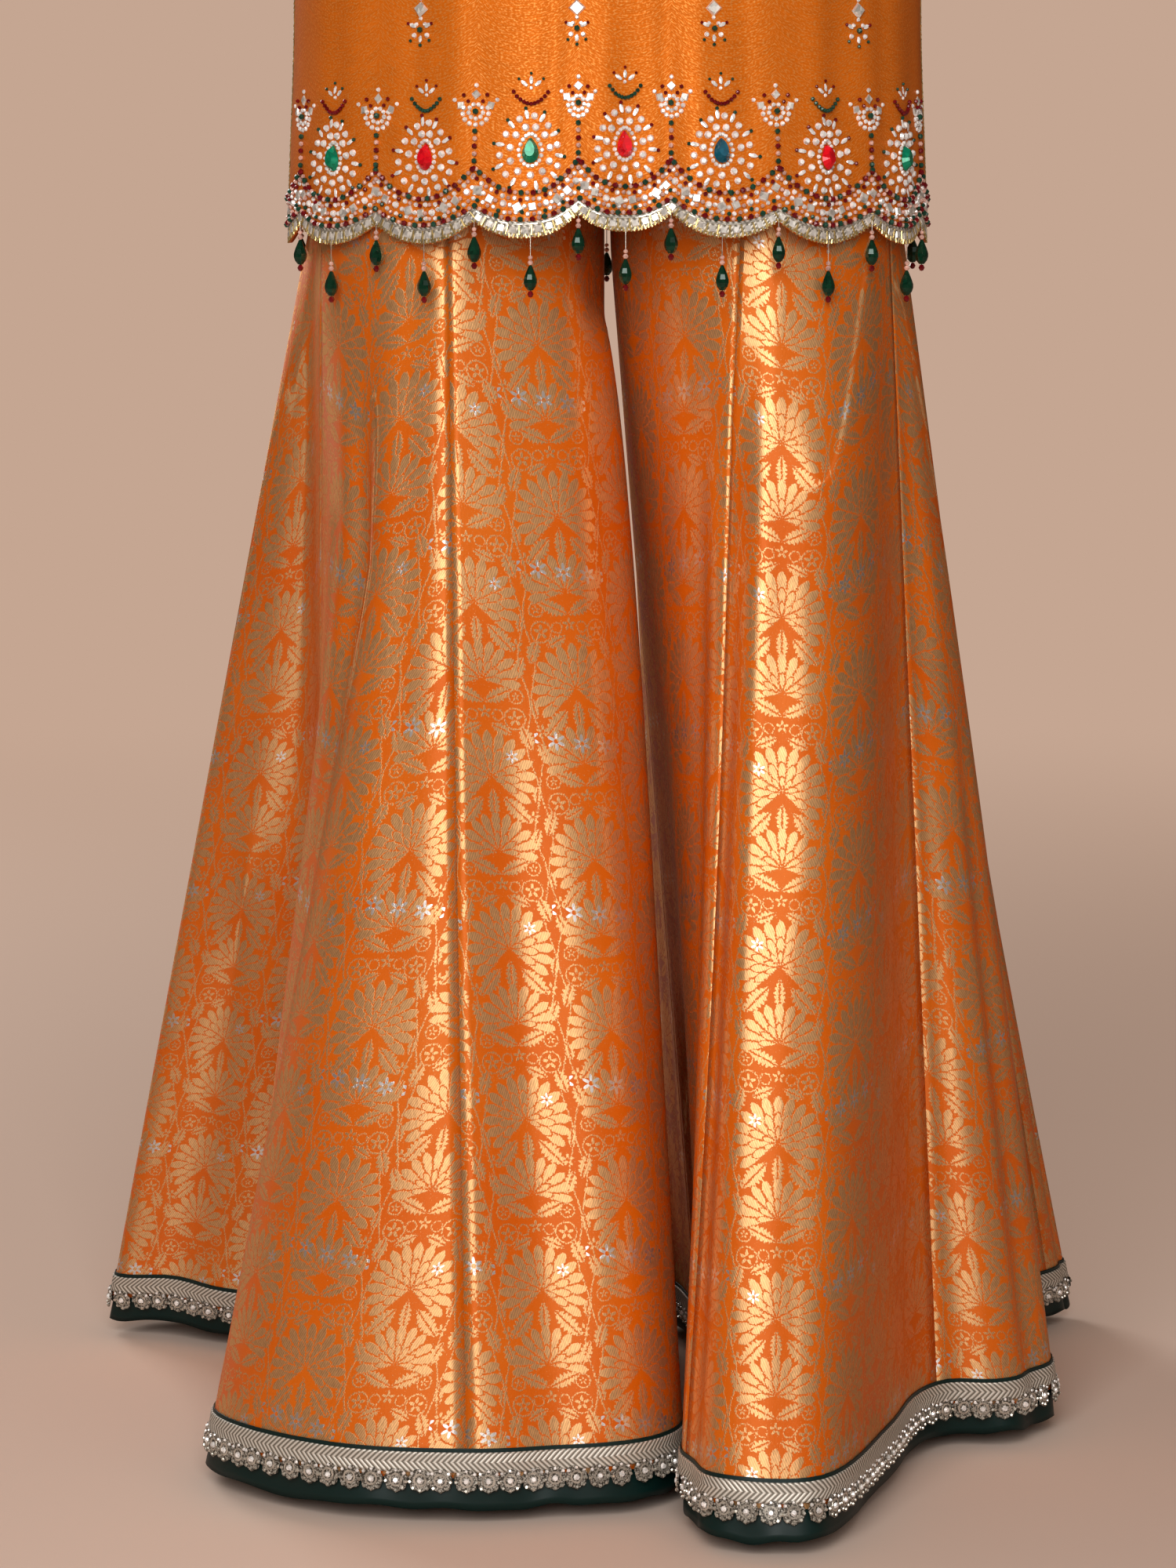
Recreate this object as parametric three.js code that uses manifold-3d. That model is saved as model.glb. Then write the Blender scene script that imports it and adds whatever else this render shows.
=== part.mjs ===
// A palazzo suit as it is worn: a short tunic with side slits and a scalloped, beaded hem,
// over wide trousers whose legs are five flared panels each, with a lace edge and a green facing.
// Millimetres, +Z up, the wearer faces -Y, so the wearer's right side is -X.
// The origin is the middle of the trousers' waist. Heights in the tables are above the soles.
import * as THREE from 'three';
import { mergeVertices } from 'three/addons/utils/BufferGeometryUtils.js';
import Module from 'manifold-3d';

const wasm = await Module();
wasm.setup();

// Driving sizes
const WAIST_HEIGHT = 1090;
const CROTCH_HEIGHT = 870;
const CROTCH_CURVE = 95;
const WAISTBAND_TALL = 42;
const WAISTBAND_WALL = 3;
const BROCADE_WALL = 1.4;
const SILK_WALL = 1.2;
const SEAM_HALF_GAP = 0.2;
const LAYER_GAP = 0.4;

const PANEL_HEM_HEIGHT = 32;
const LACE_WALL = 1.6;
const FACING_WALL = 1.2;

// Row heights of the trouser panels, waist to hem.
const TROUSER_ROWS = [1047.7, 985, 920, 885, 870, 825, 750, 640, 500, 350, 200, 66, 49, 32];
const LACE_ROWS = [49, 32, 23];
const FACING_ROWS = [49, 32, 10];
const STEPS_PER_FOLD = 2;
const SHARPEST_FOLD = 0.45;

// The trousers round the hips. The tunic rests on them at the back.
const HIP_SECTIONS = [
  { height: 870, halfWidth: 193, front: 114, back: 118 },
  { height: 930, halfWidth: 186, front: 119, back: 136 },
  { height: 1000, halfWidth: 170, front: 115, back: 133.3 },
  { height: 1050, halfWidth: 149, front: 107, back: 112 },
  { height: 1090, halfWidth: 140, front: 103, back: 104 },
];

// One row for each point round a leg that a fold's ridge, valley or seam runs down. angle is where it
// starts on the thigh, in degrees from the front towards the outside. x and y are where it ends at the hem,
// start is the share of the leg's length that hangs straight before it flares,
// and bow below 1 makes it flare sooner than a straight line does.
const RIGHT_LEG = {
  side: -1, thighX: -100, thighHalfWidth: 98, thighHalfDepth: 106,
  folds: [
    { angle: -90, x: 14, y: 80, start: 0.1 },
    { angle: -68, x: 47, y: -62, start: 0.1, bow: 0.5 },
    { angle: -45, x: 44, y: -128, start: 0.02, bow: 0.85 },
    { angle: -22, x: -15, y: -174, start: 0.05 },
    { angle: 2, x: -92, y: -182, start: 0.04 },
    { angle: 18, x: -180, y: -162, start: 0.1 },
    { angle: 34, x: -266, y: -78, start: 0.3 },
    { angle: 50, x: -252, y: 25, start: 0.26 },
    { angle: 65, x: -206, y: 150, start: 0.1 },
    { angle: 73, x: -232, y: 268, start: 0.05 },
    { angle: 81, x: -306, y: 292, start: 0.04 },
    { angle: 90, x: -374, y: 328, start: 0.03 },
    { angle: 98, x: -330, y: 378, start: 0.07 },
    { angle: 107, x: -232, y: 338, start: 0.11 },
    { angle: 120, x: -222, y: 376, start: 0.11 },
    { angle: 132, x: -160, y: 410, start: 0.11 },
    { angle: 144, x: -92, y: 393, start: 0.11 },
    { angle: 156, x: -86, y: 343, start: 0.11 },
    { angle: 168, x: -45, y: 364, start: 0.11 },
    { angle: 180, x: -2, y: 389, start: 0.11 },
    { angle: 200, x: 12, y: 378, start: 0.11 },
    { angle: 218, x: -10, y: 318, start: 0.11 },
    { angle: 236, x: 10, y: 235, start: 0.12 },
    { angle: 253, x: -2, y: 155, start: 0.12 },
  ],
};
const LEFT_LEG = {
  side: 1, thighX: 99, thighHalfWidth: 97, thighHalfDepth: 106,
  folds: [
    { angle: -90, x: 68, y: 170, start: 0.05 },
    { angle: -69, x: 78, y: 70, start: 0.05 },
    { angle: -48, x: 66, y: -20, start: 0.05 },
    { angle: -28, x: 60, y: -110, start: 0.05 },
    { angle: -8, x: 46, y: -190, start: 0.05 },
    { angle: 8, x: 74, y: -243, start: 0.04 },
    { angle: 26, x: 135, y: -246, start: 0.04 },
    { angle: 45, x: 182, y: -120, start: 0.04 },
    { angle: 63, x: 228, y: -5, start: 0.04 },
    { angle: 74, x: 290, y: 14, start: 0.04 },
    { angle: 84, x: 313, y: 80, start: 0.03 },
    { angle: 92, x: 243, y: 190, start: 0.08 },
    { angle: 100, x: 275, y: 292, start: 0.07 },
    { angle: 108, x: 338, y: 336, start: 0.08 },
    { angle: 117, x: 357, y: 376, start: 0.08 },
    { angle: 128, x: 312, y: 391, start: 0.11 },
    { angle: 140, x: 252, y: 348, start: 0.11 },
    { angle: 153, x: 246, y: 382, start: 0.11 },
    { angle: 166, x: 200, y: 415, start: 0.11 },
    { angle: 180, x: 148, y: 401, start: 0.11 },
    { angle: 197, x: 150, y: 352, start: 0.11 },
    { angle: 214, x: 96, y: 392, start: 0.11 },
    { angle: 232, x: 36, y: 352, start: 0.11 },
    { angle: 252, x: 64, y: 272, start: 0.08 },
  ],
};
// Each panel runs from one fold row to another.
const LEG_PANELS = [
  { name: 'inner_front', from: 0, to: 4 },
  { name: 'outer_front', from: 4, to: 8 },
  { name: 'side', from: 8, to: 13 },
  { name: 'outer_back', from: 13, to: 19 },
  { name: 'inner_back', from: 19, to: 24 },
];

// The tunic
const TUNIC_HEM = 829;
const TUNIC_HEM_LIFT = 9;
const HEM_LIFT_SPREAD = 0.33;
const SCALLOPS = 8;
const SCALLOP_DEEP = 13;
const SCALLOP_FADE = 75;
const STEPS_PER_SCALLOP = 4;
// How far the front's slack has slid the cloth sideways at even steps from its right slit to its left.
const FRONT_SLACK = [0, 0.042, 0.068, 0.074, 0.039, 0.009, 0.022, 0.05, 0];
const SLIT_TOP = 1020;
const SLIT_HALF_GAP = 3;
const SHOULDER_HEIGHT = 1500;
const SHOULDER_DROP = 45;
const NECK_HALF_WIDTH = 75;
const SHOULDER_HALF_WIDTH = 185;
const ARMPIT = { x: 187, height: 1333 };
const BODY_SECTIONS = [
  { height: 780, halfWidth: 213, front: 143, back: 144 },
  { height: 830, halfWidth: 212, front: 142, back: 143 },
  { height: 990, halfWidth: 207, front: 138, back: 141 },
  { height: 1090, halfWidth: 192, front: 120, back: 114 },
  { height: 1180, halfWidth: 180, front: 120, back: 112 },
  { height: 1260, halfWidth: 187, front: 146, back: 114 },
  { height: 1333, halfWidth: 188, front: 132, back: 122 },
  { height: 1400, halfWidth: 190, front: 112, back: 124 },
  { height: 1455, halfWidth: 195, front: 98, back: 116 },
  { height: 1510, halfWidth: 200, front: 90, back: 110 },
];
const FACES = {
  front: { sign: -1, neckDrop: 92, armholeIn: 150, cap: 125, folds: 'front' },
  back: { sign: 1, neckDrop: 26, armholeIn: 158, cap: 95, folds: 'back' },
};
// Soft vertical folds of the tunic: where round the panel, how wide, how far in or out at the hem.
const TUNIC_FOLDS = {
  front: [
    { at: -0.86, wide: 0.07, out: -3 },
    { at: -0.62, wide: 0.06, out: -3 },
    { at: -0.3, wide: 0.16, out: 4 },
    { at: 0.04, wide: 0.1, out: -7 },
    { at: 0.36, wide: 0.15, out: 4 },
    { at: 0.55, wide: 0.06, out: -3 },
    { at: 0.82, wide: 0.08, out: -3 },
  ],
  back: [
    { at: -0.72, wide: 0.1, out: -2 },
    { at: -0.25, wide: 0.14, out: 4 },
    { at: 0.02, wide: 0.1, out: -6 },
    { at: 0.4, wide: 0.15, out: 4 },
    { at: 0.7, wide: 0.1, out: -2 },
  ],
};
const FOLD_TOP = 1110;
// Columns from the centre out: neckline, then shoulder, then armhole.
const NECK_COLUMNS = 7;
const SHOULDER_COLUMNS = 4;
const ARMHOLE_COLUMNS = 5;
const HALF_COLUMNS = NECK_COLUMNS + SHOULDER_COLUMNS + ARMHOLE_COLUMNS;
// Rows above the hem's edge that carry the bead border, and how far beads raise the cloth there.
const BORDER_ROWS = [
  { above: 0, raised: 0 },
  { above: 11, raised: 0 },
  { above: 14, raised: 2 },
  { above: 28, raised: 2 },
  { above: 32, raised: 0 },
  { above: 54, raised: 0 },
  { above: 84, raised: 0 },
  { above: 122, raised: 0 },
];
const STONE_RAISED = 3;
const STONE_ROW = 5;
const UPPER_ROWS = 7;
const ROWS_CROWD_UP = 1.7;
const COLUMNS_TURN_IN_ABOVE = 1130;

const EDGING_WALL = 2.4;
const EDGING_LOW = 1;
const EDGING_TALL = 9.5;
const DROP_SIDES = 4;
const DROP_LENGTHS = { cusp: 31, low: 39 };
// A drop's outline from its lower end: a small bead, a faceted drop, two small beads and the thread.
const DROP_OUTLINE = [
  { up: 0, radius: 0.9 },
  { up: 2, radius: 2.1 },
  { up: 4.2, radius: 0.9 },
  { up: 11, radius: 4.6 },
  { up: 21, radius: 1.1 },
  { up: 25, radius: 0.8 },
];

const NECKBAND_TALL = 8;
const NECKBAND_WALL = 1.6;
const NECKBAND_STEPS = 14;

const SLEEVE_STEPS_ROUND = 16;
const SLEEVE_STEPS_LONG = 5;
const SLEEVE_SEAM_GAP = 0.8;
const SLEEVE_LAPS_FROM = 0.3;
const SLEEVE_BICEPS = { x: 229, y: -2, height: 1373, outer: [35, 0, 74], front: [0, -70, 0] };
const SLEEVE_CUFF = { x: 266, y: -8, height: 1182, outer: [61, 0, 17], front: [0, -61, 4] };

const brocade = new THREE.MeshStandardMaterial({ color: 0xd9741f, roughness: 0.5, metalness: 0.25 });
const orangeSilk = new THREE.MeshStandardMaterial({ color: 0xd8701f, roughness: 0.6, metalness: 0.1 });
const greenFacing = new THREE.MeshStandardMaterial({ color: 0x0f3f3c, roughness: 0.7, metalness: 0 });
const silverLace = new THREE.MeshStandardMaterial({ color: 0xb9b0a0, roughness: 0.4, metalness: 0.6 });
const beadEdging = new THREE.MeshStandardMaterial({ color: 0xc9bfa6, roughness: 0.3, metalness: 0.6 });

const suit = new THREE.Group();
const point = (x, y, height) => new THREE.Vector3(x, y, height - WAIST_HEIGHT);
const mix = THREE.MathUtils.lerp;
const smooth = (value) => THREE.MathUtils.smoothstep(value, 0, 1);
const clamp01 = (value) => THREE.MathUtils.clamp(value, 0, 1);

function addPiece(name, geometry, material) {
  const mesh = new THREE.Mesh(geometry, material);
  mesh.name = name;
  suit.add(mesh);
}

// A named column of a table of sections, at any height.
function sectionAt(sections, height, column) {
  const last = sections.length - 1;
  if (height <= sections[0].height) return sections[0][column];
  if (height >= sections[last].height) return sections[last][column];
  const above = sections.findIndex((section) => section.height > height);
  const low = sections[above - 1];
  const high = sections[above];
  return mix(low[column], high[column], smooth((height - low.height) / (high.height - low.height)));
}

// A closed wall between two grids of points, outer[column][row] and inner[column][row].
// A ring's last column joins its first.
function wallBetween(outer, inner, ring, flip) {
  const columns = outer.length;
  const rows = outer[0].length;
  const positions = [...outer.flat(), ...inner.flat()].flatMap((p) => [p.x, p.y, p.z]);
  const index = [];
  const at = (layer, column, row) => layer * columns * rows + (column % columns) * rows + row;
  const face = (a, b, c, d) => (flip ? index.push(a, c, b, a, d, c) : index.push(a, b, c, a, c, d));
  const lastColumn = ring ? columns : columns - 1;
  for (let i = 0; i < lastColumn; i++) {
    for (let j = 0; j < rows - 1; j++) {
      face(at(0, i, j), at(0, i, j + 1), at(0, i + 1, j + 1), at(0, i + 1, j));
      face(at(1, i, j), at(1, i + 1, j), at(1, i + 1, j + 1), at(1, i, j + 1));
    }
    face(at(0, i, 0), at(0, i + 1, 0), at(1, i + 1, 0), at(1, i, 0));
    face(at(0, i, rows - 1), at(1, i, rows - 1), at(1, i + 1, rows - 1), at(0, i + 1, rows - 1));
  }
  if (!ring) {
    for (let j = 0; j < rows - 1; j++) {
      face(at(0, 0, j), at(1, 0, j), at(1, 0, j + 1), at(0, 0, j + 1));
      face(at(0, columns - 1, j), at(0, columns - 1, j + 1), at(1, columns - 1, j + 1), at(1, columns - 1, j));
    }
  }
  const geometry = new THREE.BufferGeometry();
  geometry.setAttribute('position', new THREE.Float32BufferAttribute(positions, 3));
  geometry.setIndex(index);
  return outwards(geometry);
}

// Turns every face round if the body's volume is negative.
function outwards(geometry) {
  const position = geometry.getAttribute('position');
  const index = geometry.index.array;
  const [a, b, c] = [new THREE.Vector3(), new THREE.Vector3(), new THREE.Vector3()];
  let volume = 0;
  for (let i = 0; i < index.length; i += 3) {
    a.fromBufferAttribute(position, index[i]);
    b.fromBufferAttribute(position, index[i + 1]);
    c.fromBufferAttribute(position, index[i + 2]);
    volume += a.dot(b.cross(c));
  }
  if (volume < 0) {
    for (let i = 0; i < index.length; i += 3) [index[i], index[i + 1]] = [index[i + 1], index[i]];
  }
  return geometry;
}

// Trousers
const legLength = CROTCH_HEIGHT - PANEL_HEM_HEIGHT;

function foldAngle(leg, place) {
  const count = leg.folds.length;
  const low = Math.min(Math.floor(place), count - 1);
  const next = low + 1 < count ? leg.folds[low + 1].angle : 270;
  return THREE.MathUtils.degToRad(mix(leg.folds[low].angle, next, place - low));
}

function thighPoint(leg, angle) {
  return new THREE.Vector2(
    leg.thighX + leg.side * leg.thighHalfWidth * Math.sin(angle),
    -leg.thighHalfDepth * Math.cos(angle),
  );
}

function hipPoint(leg, angle, height) {
  const round = (angle + Math.PI / 2) / 2;
  const width = sectionAt(HIP_SECTIONS, height, 'halfWidth');
  const depth = sectionAt(HIP_SECTIONS, height, Math.cos(round) > 0 ? 'front' : 'back');
  return new THREE.Vector2(leg.side * (SEAM_HALF_GAP + width * Math.sin(round)), -depth * Math.cos(round));
}

function foldPoint(leg, row, height) {
  const fold = leg.folds[(row + leg.folds.length) % leg.folds.length];
  const down = (CROTCH_HEIGHT - height) / legLength;
  const flare = Math.max(0, (down - fold.start) / (1 - fold.start)) ** (fold.bow || 1);
  return thighPoint(leg, THREE.MathUtils.degToRad(fold.angle)).lerp(new THREE.Vector2(fold.x, fold.y), flare);
}

// The trousers' outside: place counts fold rows round the leg, from the inseam over the front.
function legPoint(leg, place, height) {
  if (height >= CROTCH_HEIGHT) {
    const rise = clamp01((height - CROTCH_HEIGHT) / CROTCH_CURVE);
    const nearSeam = Math.abs((2 * place) / leg.folds.length - 1) ** 4;
    const share = mix(smooth(rise), Math.sqrt(1 - (1 - rise) ** 2), nearSeam);
    const angle = foldAngle(leg, place);
    const flat = thighPoint(leg, angle).lerp(hipPoint(leg, angle, height), share);
    return point(flat.x, flat.y, height);
  }
  const low = Math.floor(place);
  const share = place - low;
  const [a, b, c, d] = [-1, 0, 1, 2].map((step) => foldPoint(leg, low + step, height));
  const curve = (p, q, r, s) => q
    + 0.5 * share * (r - p + share * (2 * p - 5 * q + 4 * r - s + share * (3 * (q - r) + s - p)));
  return point(curve(a.x, b.x, c.x, d.x), curve(a.y, b.y, c.y, d.y), height);
}

// The direction out of the cloth, long enough at a sharp fold to keep the wall's thickness on both its sides.
function legNormal(leg, place, height) {
  const open = height >= CROTCH_HEIGHT;
  const step = 1 / STEPS_PER_FOLD;
  const here = legPoint(leg, place, height);
  const up = legPoint(leg, place, height + 1).sub(legPoint(leg, place, height - 1));
  const chords = [];
  if (!open || place > 0) chords.push(here.clone().sub(legPoint(leg, place - step, height)));
  if (!open || place < leg.folds.length) chords.push(legPoint(leg, place + step, height).sub(here));
  const normals = chords.map((chord) => chord.cross(up).multiplyScalar(leg.side).normalize());
  const middle = normals.reduce((sum, normal) => sum.add(normal), new THREE.Vector3()).normalize();
  return middle.divideScalar(Math.max(middle.dot(normals[0]), SHARPEST_FOLD));
}

// places lists the columns: at counts fold rows, and towards is 1 or -1 for an end that stops short of a seam.
function legWall(leg, places, heights, outerGap, thickness, ring) {
  const outer = [];
  const inner = [];
  for (const { at, towards } of places) {
    const outerColumn = [];
    const innerColumn = [];
    for (const height of heights) {
      const normal = legNormal(leg, at, height);
      const base = legPoint(leg, at, height);
      if (towards) {
        const next = legPoint(leg, at + towards / STEPS_PER_FOLD, height);
        base.addScaledVector(next.sub(base).normalize(), SEAM_HALF_GAP);
      }
      outerColumn.push(base.clone().addScaledVector(normal, outerGap));
      innerColumn.push(base.clone().addScaledVector(normal, outerGap - thickness));
    }
    outer.push(outerColumn);
    inner.push(innerColumn);
  }
  return wallBetween(outer, inner, ring, false);
}

function makeLeg(name, leg) {
  for (const panel of LEG_PANELS) {
    const steps = (panel.to - panel.from) * STEPS_PER_FOLD;
    const places = [];
    for (let i = 0; i <= steps; i++) {
      const towards = i === 0 ? 1 : i === steps ? -1 : 0;
      places.push({ at: panel.from + i / STEPS_PER_FOLD, towards });
    }
    const geometry = legWall(leg, places, TROUSER_ROWS, 0, BROCADE_WALL, false);
    addPiece(`trousers_${name}_${panel.name}`, geometry, brocade);
  }
  const allRound = [];
  for (let i = 0; i < leg.folds.length * STEPS_PER_FOLD; i++) allRound.push({ at: i / STEPS_PER_FOLD, towards: 0 });
  addPiece(
    `lace_${name}`,
    legWall(leg, allRound, LACE_ROWS, LAYER_GAP + LACE_WALL, LACE_WALL, true),
    silverLace,
  );
  addPiece(
    `facing_${name}`,
    legWall(leg, allRound, FACING_ROWS, -BROCADE_WALL - LAYER_GAP, FACING_WALL, true),
    greenFacing,
  );
}

function makeWaistband() {
  const steps = 40;
  const low = WAIST_HEIGHT - WAISTBAND_TALL;
  const ringAt = (grow) => {
    const columns = [];
    for (let i = 0; i < steps; i++) {
      const angle = (i / steps) * 2 * Math.PI;
      columns.push([WAIST_HEIGHT, low].map((height) => point(
        (sectionAt(HIP_SECTIONS, height, 'halfWidth') + grow) * Math.sin(angle),
        -(sectionAt(HIP_SECTIONS, height, Math.cos(angle) > 0 ? 'front' : 'back') + grow) * Math.cos(angle),
        height,
      )));
    }
    return columns;
  };
  addPiece('waistband', wallBetween(ringAt(1), ringAt(1 - WAISTBAND_WALL), true, false), brocade);
}

// Tunic
// The angle round the hem's ellipse that lies a share of the way along its arc from the centre to the side.
const hemAngles = (() => {
  const fine = 400;
  const lengths = [0];
  for (let i = 1; i <= fine; i++) {
    const angle = ((i - 0.5) / fine) * (Math.PI / 2);
    const across = sectionAt(BODY_SECTIONS, TUNIC_HEM, 'halfWidth') * Math.cos(angle);
    const deep = sectionAt(BODY_SECTIONS, TUNIC_HEM, 'front') * Math.sin(angle);
    lengths.push(lengths[i - 1] + Math.hypot(across, deep));
  }
  return lengths.map((length) => length / lengths[fine]);
})();
function hemAngle(share) {
  const size = Math.abs(share);
  const above = Math.max(1, hemAngles.findIndex((length) => length >= size - 1e-9));
  const within = (size - hemAngles[above - 1]) / (hemAngles[above] - hemAngles[above - 1]);
  return (Math.sign(share) * (above - 1 + within) * (Math.PI / 2)) / (hemAngles.length - 1);
}

function tunicHem(across) {
  const scallop = across * (SCALLOPS / 2);
  const fromMiddle = Math.abs(scallop - Math.round(scallop)) * 2;
  const lift = TUNIC_HEM_LIFT * Math.exp(-((across / HEM_LIFT_SPREAD) ** 2));
  return { low: TUNIC_HEM + lift, scallop: SCALLOP_DEEP * fromMiddle ** 2.2 };
}

// Where a column ends at the top: on the neckline, the shoulder seam or the armhole.
function tunicTop(face, across) {
  const column = Math.abs(across) * HALF_COLUMNS;
  const side = Math.sign(across) || 1;
  if (column <= NECK_COLUMNS) {
    const turn = (1 - column / NECK_COLUMNS) * (Math.PI / 2);
    return { x: side * NECK_HALF_WIDTH * Math.cos(turn), height: SHOULDER_HEIGHT - face.neckDrop * Math.sin(turn) ** 2 };
  }
  if (column <= NECK_COLUMNS + SHOULDER_COLUMNS) {
    const share = (column - NECK_COLUMNS) / SHOULDER_COLUMNS;
    return {
      x: side * mix(NECK_HALF_WIDTH, SHOULDER_HALF_WIDTH, share),
      height: SHOULDER_HEIGHT - SHOULDER_DROP * share,
    };
  }
  const share = (column - NECK_COLUMNS - SHOULDER_COLUMNS) / ARMHOLE_COLUMNS;
  const bow = (a, b, c) => (1 - share) ** 2 * a + 2 * share * (1 - share) * b + share ** 2 * c;
  const middleHeight = (SHOULDER_HEIGHT - SHOULDER_DROP + ARMPIT.height) / 2;
  return {
    x: side * bow(SHOULDER_HALF_WIDTH, face.armholeIn, ARMPIT.x),
    height: bow(SHOULDER_HEIGHT - SHOULDER_DROP, middleHeight, ARMPIT.height),
  };
}

function shoulderLine(x) {
  const past = Math.abs(x) - NECK_HALF_WIDTH;
  return SHOULDER_HEIGHT - (SHOULDER_DROP * past) / (SHOULDER_HALF_WIDTH - NECK_HALF_WIDTH);
}

function slackAt(across) {
  const place = ((across + 1) / 2) * (FRONT_SLACK.length - 1);
  const low = Math.min(Math.floor(place), FRONT_SLACK.length - 2);
  return mix(FRONT_SLACK[low], FRONT_SLACK[low + 1], smooth(place - low));
}

// The tunic's outside, where across is -1 to 1 from side to side of one face.
function tunicPoint(face, across, height) {
  const top = tunicTop(face, across);
  const turnIn = smooth(clamp01((height - COLUMNS_TURN_IN_ABOVE) / (top.height - COLUMNS_TURN_IN_ABOVE)));
  const shifted = across + (face.sign < 0 ? slackAt(across) : 0);
  const topWide = sectionAt(BODY_SECTIONS, top.height, 'halfWidth');
  const topAngle = Math.asin(THREE.MathUtils.clamp(top.x / topWide, -1, 1));
  const endAngle = Math.abs(across) > 0.999 ? (Math.sign(across) * Math.PI) / 2 : topAngle;
  const angle = mix(hemAngle(shifted), endAngle, turnIn);
  const depthColumn = face.sign < 0 ? 'front' : 'back';
  const x = sectionAt(BODY_SECTIONS, height, 'halfWidth') * Math.sin(angle);
  const underSeam = clamp01((shoulderLine(x) - height) / face.cap);
  const cap = Math.sqrt(Math.max(0, 1 - (1 - underSeam) ** 2));
  const hang = smooth(clamp01((FOLD_TOP - height) / (FOLD_TOP - TUNIC_HEM)));
  const fold = TUNIC_FOLDS[face.folds]
    .reduce((sum, f) => sum + f.out * Math.exp(-(((across - f.at) / f.wide) ** 2)), 0) * hang;
  const slit = mix(SEAM_HALF_GAP, SLIT_HALF_GAP, smooth(clamp01((SLIT_TOP - height) / 40)));
  const deep = sectionAt(BODY_SECTIONS, height, depthColumn) * Math.cos(angle) * cap;
  const edge = 1 - across ** 8;
  return point(
    x + fold * Math.sin(angle) * edge,
    face.sign * (deep + slit + fold * Math.cos(angle) * edge),
    height,
  );
}

function tunicNormal(face, across, height) {
  const left = Math.max(-1, across - 0.01);
  const right = Math.min(1, across + 0.01);
  const along = tunicPoint(face, right, height).sub(tunicPoint(face, left, height));
  const top = tunicTop(face, across).height;
  const up = tunicPoint(face, across, Math.min(top, height + 2)).sub(tunicPoint(face, across, height - 2));
  return along.cross(up).multiplyScalar(-face.sign).normalize();
}

function borderHeight(across, above) {
  const hem = tunicHem(across);
  return hem.low + above + hem.scallop * clamp01(1 - above / SCALLOP_FADE);
}

// Keeps a point of one face clear of the other face's seam edge.
function ownSide(face, p) {
  return p.setY(face.sign * Math.max(face.sign * p.y, SEAM_HALF_GAP));
}

function makeTunicPanel(name, face) {
  const outer = [];
  const inner = [];
  const columns = SCALLOPS * STEPS_PER_SCALLOP;
  for (let i = 0; i <= columns; i++) {
    const across = (2 * i) / columns - 1;
    const heights = BORDER_ROWS.map((row) => borderHeight(across, row.above));
    const start = heights[heights.length - 1];
    const top = tunicTop(face, across).height;
    for (let j = 1; j <= UPPER_ROWS; j++) {
      heights.push(mix(start, top, 1 - (1 - j / UPPER_ROWS) ** ROWS_CROWD_UP));
    }
    const stoneColumn = (i + STEPS_PER_SCALLOP) % STEPS_PER_SCALLOP === 0 && i > 0 && i < columns;
    const outerColumn = [];
    const innerColumn = [];
    heights.forEach((height, j) => {
      const base = tunicPoint(face, across, height);
      const normal = tunicNormal(face, across, height);
      const border = j < BORDER_ROWS.length ? BORDER_ROWS[j].raised : 0;
      const raised = border + (j === STONE_ROW && stoneColumn ? STONE_RAISED : 0);
      outerColumn.push(ownSide(face, base.clone().addScaledVector(normal, raised)));
      innerColumn.push(ownSide(face, base.clone().addScaledVector(normal, -SILK_WALL)));
    });
    outer.push(outerColumn);
    inner.push(innerColumn);
  }
  addPiece(`tunic_${name}`, wallBetween(outer, inner, false, false), orangeSilk);
}

// A closed three.js shape as a solid that joins with others.
function solidOf(geometry) {
  const bare = geometry.clone();
  bare.deleteAttribute('normal');
  bare.deleteAttribute('uv');
  const merged = mergeVertices(bare, 1e-4);
  return new wasm.Manifold(new wasm.Mesh({
    numProp: 3,
    vertProperties: new Float32Array(merged.attributes.position.array),
    triVerts: new Uint32Array(merged.index.array),
  }));
}

function geometryOf(solid) {
  const mesh = solid.getMesh();
  const geometry = new THREE.BufferGeometry();
  geometry.setAttribute('position', new THREE.Float32BufferAttribute(mesh.vertProperties, 3));
  geometry.setIndex(new THREE.Uint32BufferAttribute(mesh.triVerts, 1));
  return geometry;
}

function dropGeometry(length, root) {
  const profile = [new THREE.Vector2(0, 0)];
  for (const ring of DROP_OUTLINE) profile.push(new THREE.Vector2(ring.radius, ring.up));
  const thread = DROP_OUTLINE[DROP_OUTLINE.length - 1].radius;
  profile.push(new THREE.Vector2(thread, length + root), new THREE.Vector2(0, length + root));
  const geometry = new THREE.LatheGeometry(profile, DROP_SIDES);
  geometry.rotateX(Math.PI / 2);
  geometry.translate(0, 0, -length);
  return geometry;
}

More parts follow.
